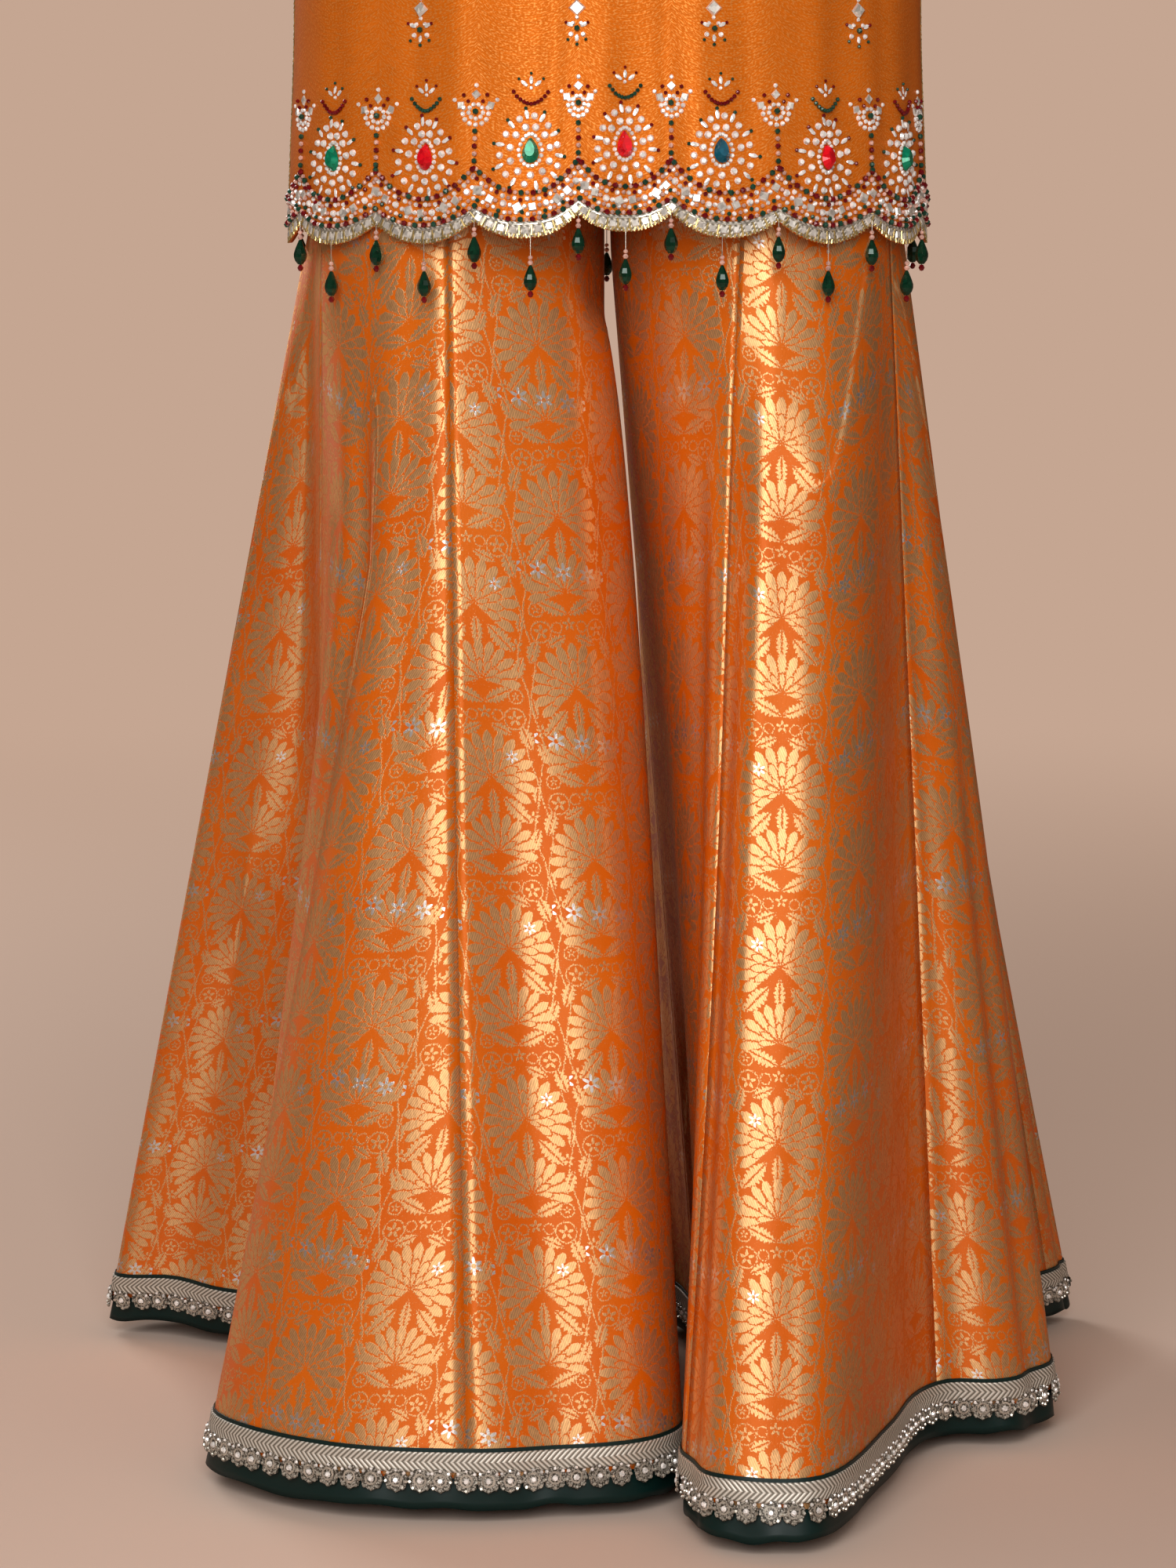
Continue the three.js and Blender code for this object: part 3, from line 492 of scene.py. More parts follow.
def foldAngle(leg, place):
    folds = leg["folds"]
    low = min(int(place), len(folds) - 1)
    following = folds[low + 1]["angle"] if low + 1 < len(folds) else 270
    return math.radians(mix(folds[low]["angle"], following, place - low))


def thighPoint(leg, angle):
    return (
        leg["thighX"] + leg["side"] * leg["halfWidth"] * math.sin(angle),
        -leg["halfDepth"] * math.cos(angle),
    )


def hipPoint(leg, angle, height):
    turn = (angle + math.pi / 2) / 2
    width = sectionAt(trousers["hips"], height, "halfWidth")
    depth = sectionAt(trousers["hips"], height, "front" if math.cos(turn) > 0 else "back")
    return leg["side"] * (trousers["seamHalfGap"] + width * math.sin(turn)), -depth * math.cos(turn)


def foldPoint(leg, row, height):
    fold = leg["folds"][row % len(leg["folds"])]
    down = (trousers["crotch"] - height) / (trousers["crotch"] - trousers["hem"])
    flare = max(0.0, (down - fold["start"]) / (1 - fold["start"])) ** fold["bow"]
    x, y = thighPoint(leg, math.radians(fold["angle"]))
    return mix(x, fold["x"], flare), mix(y, fold["y"], flare)


# place counts the rows of folds from the inseam over the front
def legPoint(leg, place, height):
    count = len(leg["folds"])
    if height >= trousers["crotch"]:
        rise = clamp01((height - trousers["crotch"]) / trousers["crotchCurve"])
        nearSeam = abs(2 * place / count - 1) ** 4
        share = mix(smooth(rise), math.sqrt(1 - (1 - rise) ** 2), nearSeam)
        angle = foldAngle(leg, place)
        thigh = thighPoint(leg, angle)
        hip = hipPoint(leg, angle, height)
        return spot(mix(thigh[0], hip[0], share), mix(thigh[1], hip[1], share), height)
    low = math.floor(place)
    share = place - low
    corners = [foldPoint(leg, low + step, height) for step in (-1, 0, 1, 2)]
    x, y = (
        q + 0.5 * share * (r - p + share * (2 * p - 5 * q + 4 * r - s + share * (3 * (q - r) + s - p)))
        for p, q, r, s in zip(*corners)
    )
    return spot(x, y, height)


def legNormal(leg, place, height):
    count = len(leg["folds"])
    step = 0.25
    before, after = place - step, place + step
    if height >= trousers["crotch"]:
        before, after = max(before, 0), min(after, count)
    along = legPoint(leg, after, height) - legPoint(leg, before, height)
    up = legPoint(leg, place, height + 2) - legPoint(leg, place, height - 2)
    return along.cross(up).normalized() * leg["side"]


def creaseAt(creases, place, height, count=0):
    depth = 0.0
    for crease in creases:
        down = (crease["top"] - height) / (crease["top"] - crease["low"])
        if 0 < down < 1:
            off = place - crease["place"] - crease["lean"] * (down - 0.5)
            if count:
                off = (off + count / 2) % count - count / 2
            depth += crease["out"] * math.sin(math.pi * down) ** 0.8 * math.exp(-(off / crease["wide"]) ** 2)
    return depth


def legSurface(leg, place, height, out=0.0):
    out += creaseAt(leg["creases"], place, height, len(leg["folds"]))
    return legPoint(leg, place, height) + legNormal(leg, place, height) * out * mm


def makeTrousers(brocade):
    top = waistHeight - trousers["waistbandTall"] - 0.3
    for leg in (rightLeg, leftLeg):
        for panel in trousers["panels"]:
            size = ((panel["end"] - panel["start"]) * trousers["columnsPerFold"], trousers["rows"])

            def pointAt(across, up):
                place = mix(panel["start"], panel["end"], across)
                return legSurface(leg, place, mix(trousers["hem"], top, up))

            name = f"trousers_{leg['name']}_{panel['name']}"
            piece = clothGrid("cloth_" + name, size, pointAt, trousers["wall"], flip=leg["side"] < 0)
            dress(piece, brocade, "brocade", name, held="hung", restsOn=["waistband"])
    print("trousers made")


# Tunic

tunic = {
    "hem": 829,
    "hemLift": 9,
    "liftSpread": 0.33,
    "scallops": 8,
    "scallopDeep": 13,
    "scallopFade": 75,
    "shoulder": 1500,
    "shoulderDrop": 45,
    "neckHalfWidth": 75,
    "shoulderHalfWidth": 185,
    "armpitX": 187,
    "armpit": 1333,
    "slitTop": 1020,
    "slitOpens": 40,
    "slitHalfGap": 3,
    "foldTop": 1110,
    "turnInAbove": 1130,
    "wall": 1.2,
    "columns": 192,
    "rows": 110,
    "neckShare": 7 / 16,  # shares of a half panel that end on the neckline and on the shoulder
    "shoulderShare": 11 / 16,
    "frontSlack": (0, 0.042, 0.068, 0.074, 0.039, 0.009, 0.022, 0.05, 0),
    "body": table(
        "height halfWidth front back",
        (780, 213, 143, 144),
        (830, 212, 142, 143),
        (990, 207, 138, 141),
        (1090, 192, 120, 114),
        (1180, 180, 120, 112),
        (1260, 187, 146, 114),
        (1333, 188, 132, 122),
        (1400, 190, 112, 124),
        (1455, 195, 98, 116),
        (1510, 200, 90, 110),
    ),
}
tunicFront = {
    "name": "front", "sign": -1, "neckDrop": 92, "armholeIn": 150, "cap": 125,
    "folds": table(
        "at wide out",
        (-0.86, 0.07, -3), (-0.62, 0.06, -3), (-0.3, 0.16, 4), (0.04, 0.1, -7),
        (0.36, 0.15, 4), (0.55, 0.06, -3), (0.82, 0.08, -3),
    ),
    "creases": table(
        "place wide out top low lean",
        (0.12, 0.03, -2.4, 1030, 720, 0.03), (0.19, 0.04, 1.8, 1090, 700, -0.04),
        (-0.04, 0.035, 1.4, 1010, 760, 0.02), (-0.2, 0.035, -2.2, 1110, 690, -0.03),
        (-0.42, 0.04, 2, 1080, 720, 0.03), (-0.53, 0.035, -2, 1060, 700, 0.02),
        (-0.74, 0.04, -1.8, 1050, 740, 0.04), (0.31, 0.035, -1.8, 1120, 740, 0.04),
        (0.48, 0.04, 2, 1070, 740, -0.03), (0.68, 0.035, -2.2, 1060, 720, 0.03),
        (0.5, 0.07, -6, 1400, 1120, -0.2), (-0.52, 0.07, -6, 1410, 1140, 0.18),
        (-0.3, 0.08, 4, 1270, 1060, -0.08), (0.27, 0.08, 4, 1250, 1070, 0.1),
        (0.66, 0.06, -5, 1330, 1080, -0.1), (-0.7, 0.06, -4, 1310, 1100, 0.12),
        (0.02, 0.09, -3, 1240, 1060, 0.03),
    ),
}
tunicBack = {
    "name": "back", "sign": 1, "neckDrop": 26, "armholeIn": 158, "cap": 95,
    "folds": table(
        "at wide out",
        (-0.72, 0.1, -2), (-0.25, 0.14, 4), (0.02, 0.1, -6), (0.4, 0.15, 4), (0.7, 0.1, -2),
    ),
    "creases": table(
        "place wide out top low lean",
        (-0.1, 0.04, 2, 1080, 720, 0.03), (0.16, 0.035, -2.2, 1110, 700, -0.03),
        (-0.36, 0.04, -2, 1070, 730, 0.04), (-0.57, 0.035, 1.8, 1090, 740, -0.02),
        (0.3, 0.04, 1.8, 1050, 710, 0.02), (0.55, 0.035, -2.2, 1080, 720, 0.03),
        (0.42, 0.08, -6, 1430, 1130, -0.2), (-0.4, 0.08, -6, 1420, 1150, 0.18),
        (0.05, 0.1, 5, 1230, 1070, 0.02), (-0.2, 0.07, -4, 1220, 1040, 0.05),
        (0.22, 0.07, -4, 1260, 1050, -0.06), (0.66, 0.06, -5, 1330, 1100, -0.08),
        (-0.68, 0.06, -4, 1300, 1080, 0.1),
    ),
}
sleeve = {
    "bend": {"x": 229, "y": -2, "height": 1373, "outer": (35, 0, 74), "front": (0, -70, 0)},
    "cuff": {"x": 266, "y": -8, "height": 1182, "outer": (61, 0, 17), "front": (0, -61, 4)},
    "radius": 45,  # of the ring that the creases bend
    "seamGap": 0.8,
    "lapGap": 0.4,
    "laps": (0.3, 0.6),  # shares of the armhole's length between which the sleeve comes to lie on the tunic
    "around": 96,
    "along": 60,
    # place goes round from the shoulder over the front, 1 a full turn; top and low are shares of the length
    "creases": table(
        "place wide out top low lean",
        (0.2, 0.05, -2.6, 1.3, 0.05, 0.12), (0.34, 0.04, -2, 1.1, 0.25, -0.1),
        (0.44, 0.05, -3, 0.8, -0.1, 0.05), (0.66, 0.05, -2.4, 1.2, 0.1, 0.1),
        (0.8, 0.04, -2, 1.0, 0.2, -0.12), (0.95, 0.05, -1.6, 1.2, 0.4, 0.06),
    ),
}


# How far round the hem's ellipse each share of its length reaches, from the middle to the side
def hemSteps(fine=400):
    halfWidth = sectionAt(tunic["body"], tunic["hem"], "halfWidth")
    depth = sectionAt(tunic["body"], tunic["hem"], "front")
    lengths = [0.0]
    for i in range(1, fine + 1):
        angle = (i - 0.5) / fine * math.pi / 2
        lengths.append(lengths[-1] + math.hypot(halfWidth * math.cos(angle), depth * math.sin(angle)))
    return [length / lengths[-1] for length in lengths]


hemLengths = hemSteps()


def hemAngle(share):
    size = min(abs(share), 1.0)
    above = min(max(bisect.bisect_left(hemLengths, size), 1), len(hemLengths) - 1)
    within = (size - hemLengths[above - 1]) / (hemLengths[above] - hemLengths[above - 1])
    return math.copysign((above - 1 + within) * (math.pi / 2) / (len(hemLengths) - 1), share)


def hemAt(across):
    scallop = across * tunic["scallops"] / 2
    fromMiddle = abs(scallop - round(scallop)) * 2
    low = tunic["hem"] + tunic["hemLift"] * math.exp(-(across / tunic["liftSpread"]) ** 2)
    return low, tunic["scallopDeep"] * fromMiddle ** 2.2


def borderHeight(across, above):
    low, scallop = hemAt(across)
    return low + above + scallop * clamp01(1 - above / tunic["scallopFade"])


# Where a column of the tunic ends: on the neckline, the shoulder seam or the armhole
def tunicTop(face, across):
    size = abs(across)
    side = math.copysign(1, across)
    if size <= tunic["neckShare"]:
        turn = (1 - size / tunic["neckShare"]) * math.pi / 2
        drop = face["neckDrop"] * math.sin(turn) ** 2
        return side * tunic["neckHalfWidth"] * math.cos(turn), tunic["shoulder"] - drop
    if size <= tunic["shoulderShare"]:
        share = (size - tunic["neckShare"]) / (tunic["shoulderShare"] - tunic["neckShare"])
        x = mix(tunic["neckHalfWidth"], tunic["shoulderHalfWidth"], share)
        return side * x, tunic["shoulder"] - tunic["shoulderDrop"] * share
    share = (size - tunic["shoulderShare"]) / (1 - tunic["shoulderShare"])
    top = tunic["shoulder"] - tunic["shoulderDrop"]
    across = (tunic["shoulderHalfWidth"], face["armholeIn"], tunic["armpitX"])
    up = (top, (top + tunic["armpit"]) / 2, tunic["armpit"])
    curve = [(1 - share) ** 2, 2 * share * (1 - share), share ** 2]
    return side * sum(a * b for a, b in zip(curve, across)), sum(a * b for a, b in zip(curve, up))


def shoulderLine(x):
    past = (abs(x) - tunic["neckHalfWidth"]) / (tunic["shoulderHalfWidth"] - tunic["neckHalfWidth"])
    return tunic["shoulder"] - tunic["shoulderDrop"] * past


def slackAt(across):
    slack = tunic["frontSlack"]
    place = (across + 1) / 2 * (len(slack) - 1)
    low = min(int(place), len(slack) - 2)
    return mix(slack[low], slack[low + 1], smooth(place - low))


def tunicPoint(face, across, height):
    topX, topHeight = tunicTop(face, across)
    turnIn = smooth((height - tunic["turnInAbove"]) / (topHeight - tunic["turnInAbove"]))
    shifted = across + (slackAt(across) if face["sign"] < 0 else 0)
    endAngle = math.copysign(math.pi / 2, across)
    if abs(across) <= 0.999:  # at the side itself the angle is a quarter turn
        endAngle = math.asin(max(-1, min(1, topX / sectionAt(tunic["body"], topHeight, "halfWidth"))))
    angle = mix(hemAngle(shifted), endAngle, turnIn)
    x = sectionAt(tunic["body"], height, "halfWidth") * math.sin(angle)
    underSeam = clamp01((shoulderLine(x) - height) / face["cap"])
    hang = smooth((tunic["foldTop"] - height) / (tunic["foldTop"] - tunic["hem"]))
    fold = hang * sum(f["out"] * math.exp(-((across - f["at"]) / f["wide"]) ** 2) for f in face["folds"])
    fold += creaseAt(face["creases"], across, height)
    fold *= 1 - across ** 8  # nothing at the side seams, where the panels meet
    opened = smooth((tunic["slitTop"] - height) / tunic["slitOpens"])
    slit = mix(trousers["seamHalfGap"], tunic["slitHalfGap"], opened)
    deep = sectionAt(tunic["body"], height, face["name"]) * math.cos(angle)
    deep *= math.sqrt(1 - (1 - underSeam) ** 2)
    return spot(x + fold * math.sin(angle), face["sign"] * (deep + slit + fold * math.cos(angle)), height)


def tunicNormal(face, across, height):
    right, left = min(1, across + 0.01), max(-1, across - 0.01)
    top = tunicTop(face, across)[1]
    along = tunicPoint(face, right, height) - tunicPoint(face, left, height)
    up = tunicPoint(face, across, min(top, height + 2)) - tunicPoint(face, across, height - 2)
    return along.cross(up).normalized() * -face["sign"]


def tunicSurface(face, across, height, out=0.0):
    return tunicPoint(face, across, height) + tunicNormal(face, across, height) * out * mm


def makeTunicPanels(silk, sewnOn):
    for face in (tunicFront, tunicBack):

        def pointAt(share, up):
            across = 2 * share - 1
            low = hemAt(across)[0]
            total = tunicTop(face, across)[1] - low
            return tunicSurface(face, across, borderHeight(across, total * up))

        name = "tunic_" + face["name"]
        size = (tunic["columns"], tunic["rows"])
        piece = clothGrid("cloth_" + name, size, pointAt, tunic["wall"], flip=face["sign"] > 0)
        dress(piece, silk, "tissue_silk", name, held="hung", restsOn=["waistband"],
              sewnOn=sewnOn[face["name"]])
    print("tunic panels made")


def makeSleeves(silk):
    def ringPoint(ring, angle, full):
        middle = spot(ring["x"], ring["y"], ring["height"])
        outer, front = Vector(ring["outer"]) * full * mm, Vector(ring["front"]) * full * mm
        return middle + outer * math.cos(angle) + front * math.sin(angle)

    for name, side in (("right", -1), ("left", 1)):

        def pointAt(around, along):
            face = tunicFront if around <= 0.5 else tunicBack
            down = 2 * around if around <= 0.5 else 2 - 2 * around
            across = mix(tunic["shoulderShare"], 1, down)
            edge = tunicTop(face, across)[1]
            seam = tunicPoint(face, across, edge)
            normal = tunicNormal(face, across, edge)
            if down in (0, 1):
                seam.y = 0
                normal.y = 0
            starts, full = sleeve["laps"]
            lap = (tunic["wall"] + sleeve["lapGap"]) * smooth((down - starts) / (full - starts))
            seam += Vector((sleeve["seamGap"], 0, 0)) * mm + normal.normalized() * lap * mm
            turn = around * 2 * math.pi
            crease = creaseAt(sleeve["creases"], around, along, 1) / sleeve["radius"]
            bend, cuff = ringPoint(sleeve["bend"], turn, 1), ringPoint(sleeve["cuff"], turn, 1 + crease)
            spotAt = seam * (1 - along) ** 2 + bend * 2 * along * (1 - along) + cuff * along ** 2
            return Vector((side * spotAt.x, spotAt.y, spotAt.z))

        node = "sleeve_" + name
        size = (sleeve["around"], sleeve["along"])
        piece = clothGrid("cloth_" + node, size, pointAt, tunic["wall"], flip=side < 0, ring=True)
        dress(piece, silk, "tissue_silk", node, held="hung", restsOn=["tunic_front"])
    print("sleeves made")


neckband = {"tall": 8, "wall": 1.6, "lean": 0.35, "clear": 0.6}


def makeNeckband(silk):
    def pointAt(around, up):
        face = tunicFront if around <= 0.5 else tunicBack
        turn = around * 4 - 1 if around <= 0.5 else 3 - around * 4
        across = turn * tunic["neckShare"]
        base = tunicPoint(face, across, tunicTop(face, across)[1])
        if abs(turn) > 0.999:
            base.y = 0
        inward = Vector((-base.x, -base.y, 0)).normalized()
        rise = (Vector((0, 0, 1)) + inward * neckband["lean"]).normalized()
        return base + rise * (neckband["clear"] + neckband["tall"] * up) * mm

    piece = clothGrid("cloth_neckband", (112, 4), pointAt, neckband["wall"], ring=True)
    dress(piece, silk, "tissue_silk", "neckband")
    return piece


# Beadwork

beadwork = {
    "seed": 7,
    "stretch": 281,  # mm of cloth from the middle of a panel's hem to its side
    "medallionUp": 56,
    "tulipUp": 81,
    "buttiUp": 966,
    "buttis": (-0.52, -0.13, 0.235, 0.6),
    "stones": {
        "front": ("green", "red", "green", "red", "teal", "red", "green"),
        "back": ("red", "green", "red", "green", "red", "teal", "red"),
    },
    "slitBeads": {"from": 32, "to": 1016, "across": 0.988, "step": 2.9, "bugleUp": 1.4},
    "borderReach": 0.985,
    "arcRises": {"above": 11.5, "over": 20},
    "tilt": (0.12, -0.04, 0.22),  # sideways, least and most upwards
}
# x and y in mm from the motif's middle; long and wide are a bead's own size, and turn is in degrees
fleur = table(
    "shape colour x y long wide turn",
    ("navette", "white", 0, 4.4, 6, 2.8, 90), ("navette", "white", -4.4, 2.4, 6, 2.8, 142),
    ("navette", "white", 4.4, 2.4, 6, 2.8, 38), ("seed", "tip", 0, 8.8, 2.2, 2.2, 0),
    ("seed", "tip", -7.8, 5.2, 2.2, 2.2, 0), ("seed", "tip", 7.8, 5.2, 2.2, 2.2, 0),
    ("round", "white", 0, -0.4, 2.6, 2.6, 0),
)
tulip = table(
    "shape colour x y long wide turn",
    ("seed", "green", 0, 1.5, 4.4, 4.4, 0), ("square", "mirror", 0, 12.3, 5, 5, 45),
    ("square", "mirror", -9.4, 5.4, 4.8, 4.8, 8), ("square", "mirror", 9.4, 5.4, 4.8, 4.8, -14),
    ("round", "white", 0, 18, 3.2, 3.2, 0), ("round", "white", -13.6, 8.8, 3.0, 3.0, 0),
    ("round", "white", 13.6, 8.8, 3.0, 3.0, 0), ("seed", "red", -7.4, 11.8, 3, 3, 0),
    ("seed", "red", 7.4, 11.8, 3, 3, 0), ("seed", "red", -4.6, 7.8, 2.8, 2.8, 0),
    ("seed", "red", 4.6, 7.8, 2.8, 2.8, 0),
)
butti = table(
    "shape colour x y long wide turn",
    ("seed", "tip", 0, 23, 2.6, 2.6, 0), ("round", "white", 0, 19.6, 2.8, 2.8, 0),
    ("square", "mirror", 0, 13, 8, 8, 45), ("round", "white", 0, 7, 2.8, 2.8, 0),
    ("seed", "green", 0, 0, 4.2, 4.2, 0), ("navette", "white", -5.8, 2.6, 5.8, 3, 155),
    ("navette", "white", 5.8, 2.6, 5.8, 3, 25), ("round", "white", -5, -3.6, 3.6, 3.6, 0),
    ("round", "white", 5, -3.6, 3.6, 3.6, 0), ("round", "white", -3.4, 3.4, 3, 3, 0),
    ("round", "white", 3.4, 3.4, 3, 3, 0), ("navette", "white", 0, -6, 5.2, 3, 90),
    ("seed", "tip", 0, -10, 2.6, 2.6, 0), ("seed", "red", -8.8, 3.8, 2.4, 2.4, 0),
    ("seed", "red", 8.8, 3.8, 2.4, 2.4, 0), ("seed", "green", -7.2, -7, 2.4, 2.4, 0),
    ("seed", "green", 7.2, -7, 2.4, 2.4, 0),
)


# Beads of the rows along the scallops: shape, colour, long, wide and tilt
clear, rose = ("round", "white", 3.4, 3.4, 0), ("seed", "pink", 3, 3, 0)
arcBeads = tuple(("seed", colour, wide, wide, 0) for colour, wide in (
    ("green", 4.3), ("pink", 3.2), ("red", 4.3), ("pink", 3.2),
))
# The rows themselves: how far above the edge, how far apart and how uneven, in mm
borderRows = table(
    "above spacing loose beads",
    (28.5, 3.7, 0.2, arcBeads),
    (24.6, 3.9, 0.7, (("round", "white", 3.6, 3.6, 0), rose, clear, ("seed", "red", 3.2, 3.2, 0))),
    (20, 4.6, 0.8, (
        ("square", "mirror", 6.4, 6.4, 40), clear, ("square", "mirror", 5.4, 5.4, 12),
        ("seed", "pink", 3.2, 3.2, 0), ("round", "white", 5, 5, 0), clear,
    )),
    (15.6, 3.7, 0.7, (clear, rose, ("round", "white", 3.2, 3.2, 0), ("seed", "green", 3.2, 3.2, 0))),
    (11.8, 3.8, 0.2, arcBeads),
    (8.7, 3.1, 0.1, (("bugle", "silver", 3, 1.4, 0),)),
    (4.9, 3.9, 0.2, (("square", "mirror", 5, 5, 0), ("bugle", "gold", 6.4, 1.5, 90))),
    (1.2, 2.6, 0.1, (("bugle", "gold", 2.8, 1.5, 75), ("bugle", "gold", 2.8, 1.5, 105))),
)


# A bead 1 mm wide that lies on the cloth, as arrays of corners and triangles
def beadShape(kind):
    bm = bmesh.new()
    lift = Vector((0, 0, 0.2))
    if kind == "round":  # a brilliant with a flat table
        bmesh.ops.create_cone(bm, cap_ends=True, segments=8, radius1=0.5, radius2=0.3, depth=0.4)
    elif kind == "square":
        bmesh.ops.create_cone(bm, cap_ends=True, segments=4, radius1=0.7, radius2=0.52, depth=0.22)
        bmesh.ops.rotate(bm, verts=bm.verts, cent=(0, 0, 0), matrix=Matrix.Rotation(math.pi / 4, 3, "Z"))
        lift.z = 0.11
    elif kind == "seed":
        bmesh.ops.create_icosphere(bm, subdivisions=1, radius=0.5)
        lift.z = 0.35
    elif kind == "navette":
        bmesh.ops.create_icosphere(bm, subdivisions=1, radius=0.5)
        bmesh.ops.scale(bm, vec=(1, 1, 0.35), verts=bm.verts)
    elif kind == "bugle":
        bmesh.ops.create_cone(bm, cap_ends=True, segments=6, radius1=0.5, radius2=0.5, depth=1)
        bmesh.ops.rotate(bm, verts=bm.verts, cent=(0, 0, 0), matrix=Matrix.Rotation(math.pi / 2, 3, "Y"))
        lift.z = 0.3
    elif kind == "scallop":  # a flat round of thread lace
        bmesh.ops.create_cone(bm, cap_ends=True, segments=14, radius1=0.5, radius2=0.47, depth=0.08)
        for i, vert in enumerate(bm.verts):
            petal = 1 if i // 2 % 2 else 0.88
            vert.co.xy = vert.co.xy * petal
        lift.z = 0.04
    elif kind == "pear":  # a cut drop with its point up and a flat table
        bmesh.ops.create_cone(bm, cap_ends=True, segments=16, radius1=0.5, radius2=0.3, depth=0.35)
        for vert in bm.verts:
            vert.co.x *= 1 - 0.65 * (vert.co.y + 0.5) ** 1.6
    bmesh.ops.translate(bm, verts=bm.verts, vec=lift)
    return meshArrays(bm)


def meshArrays(bm):
    bmesh.ops.triangulate(bm, faces=bm.faces)
    bm.verts.index_update()
    corners = np.array([vert.co for vert in bm.verts])
    triangles = np.array([[vert.index for vert in face.verts] for face in bm.faces])
    bm.free()
    return corners, triangles


# One mesh of many copies, each a pair of arrays and where it goes
def joined(name, copies):
    corners, triangles, count = [], [], 0
    for (shape, faces), place in copies:
        turned = np.array(place)
        corners.append(shape @ turned[:3, :3].T + turned[:3, 3])
        triangles.append(faces + count)
        count += len(shape)
    mesh = bpy.data.meshes.new(name)
    mesh.from_pydata(np.concatenate(corners).tolist(), [], np.concatenate(triangles).tolist())
    piece = bpy.data.objects.new(name, mesh)
    bpy.context.collection.objects.link(piece)
    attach(piece, "root")
    return piece


# Where a bead lies on cloth: turned in the cloth's plane, and as long and wide as given in mm
def onCloth(point, normal, turn=0.0, long=1.0, wide=1.0, out=0.0):
    up = (Vector((0, 0, 1)) - normal * normal.z).normalized()
    right = up.cross(normal)
    angle = math.radians(turn)
    along = right * math.cos(angle) + up * math.sin(angle)
    side = normal.cross(along)
    thick = min(long, wide)
    place = Matrix((along * long * mm, side * wide * mm, normal * thick * mm)).transposed().to_4x4()
    place.translation = point + normal * out * mm
    return place


def makeBeadwork(glass):
    dice = random.Random(beadwork["seed"])
    shapes = {kind: beadShape(kind) for kind in ("round", "square", "seed", "navette", "bugle", "pear")}
    made = {"front": [], "back": []}
    for face in (tunicFront, tunicBack):
        strung = {colour: [] for colour in glass}

        def sew(kind, colour, across, height, long, wide=None, turn=0.0):
            point, normal = tunicPoint(face, across, height), tunicNormal(face, across, height)
            # sewn by hand, each bead lies at a small tilt of its own and glints by itself
            sideways, least, most = beadwork["tilt"]
            normal += Vector((dice.uniform(-sideways, sideways), 0, dice.uniform(least, most)))
            place = onCloth(point, normal.normalized(), turn + dice.uniform(-5, 5), long, wide or long)
            strung[colour].append((shapes[kind], place))

        def sewAt(middle, height, x, y, kind, colour, long, wide=None, turn=0.0):
            sew(kind, colour, middle + x / beadwork["stretch"], height + y, long, wide, turn)

        def sewMotif(beads, middle, height, colours=None):
            for bead in beads:
                colour = (colours or {}).get(bead["colour"], bead["colour"])
                kept = [bead[key] for key in ("long", "wide", "turn")]
                sewAt(middle, height, bead["x"], bead["y"], bead["shape"], colour, *kept)

        for i, stone in enumerate(beadwork["stones"][face["name"]]):
            middle = (i - 3) / 4
            sewMedallion(sewAt, sewMotif, middle, hemAt(middle)[0] + beadwork["medallionUp"], stone)
        for i in range(tunic["scallops"]):
            middle = (i - 3.5) / 4
            sewTulip(sewAt, sewMotif, middle, hemAt(middle)[0] + beadwork["tulipUp"])
        for across in beadwork["buttis"]:
            sewMotif(butti, across, beadwork["buttiUp"], {"tip": "green"})
        sewBorder(face, sew, dice)
        slit = beadwork["slitBeads"]
        for side in (-slit["across"], slit["across"]):
            height = borderHeight(side, slit["from"])
            while height < slit["to"]:
                sew("round", "white", side, height, 2.4)
                sew("bugle", "gold", side * slit["across"], height + slit["bugleUp"], 3.2, 1.1, 90)
                height += slit["step"]
        for colour, copies in strung.items():
            if copies:
                piece = joined(f"beads_{colour}_{face['name']}", copies)
                dress(piece, glass[colour], "bead_edging")
                made[face["name"]].append(piece)
    print("beadwork made")
    return made


def sewMedallion(sewAt, sewMotif, middle, height, stone):
    ends = "red" if stone == "red" else "green"

    def at(x, y, *bead, **turned):
        sewAt(middle, height, x, y, *bead, **turned)

    def ring(count, halfWidth, halfTall, down, narrow, narrowFrom=-1):
        for i in range(count):
            angle = (i + 0.5) / count * 2 * math.pi
            narrowed = 1 - narrow * max(narrowFrom, math.cos(angle))
            yield i, angle, halfWidth * math.sin(angle) * narrowed, halfTall * math.cos(angle) - down

    at(0, -0.5, "pear", {"red": "ruby", "green": "emerald", "teal": "teal"}[stone], 13, 17)
    for i, angle, x, y in ring(18, 7.4, 10.2, 0.5, 0.25, 0):
        at(x, y, "round", "white", 3.1)
    for i, angle, x, y in ring(11, 13.2, 15.4, 1, 0.12):
        at(x, y, "round", "white", 5.2)
    for i, angle, x, y in ring(20, 19.2, 21.8, 0.5, 0.2):
        if i % 2:
            at(x * 1.04, y * 1.04, "navette", "white", 7.2, 3.2, turn=90 - math.degrees(angle))
            at(x * 1.24, y * 1.22, "seed", ends, 2.8)
        else:
            at(x, y, "round", "white", 4.9)
    for i in range(-5, 6):
        at(i * 2.2, 28.5 + 0.3 * i ** 2, "seed", "green" if stone == "red" else "red", 3.1)
    sewMotif(fleur, middle, height + 39, {"tip": ends})


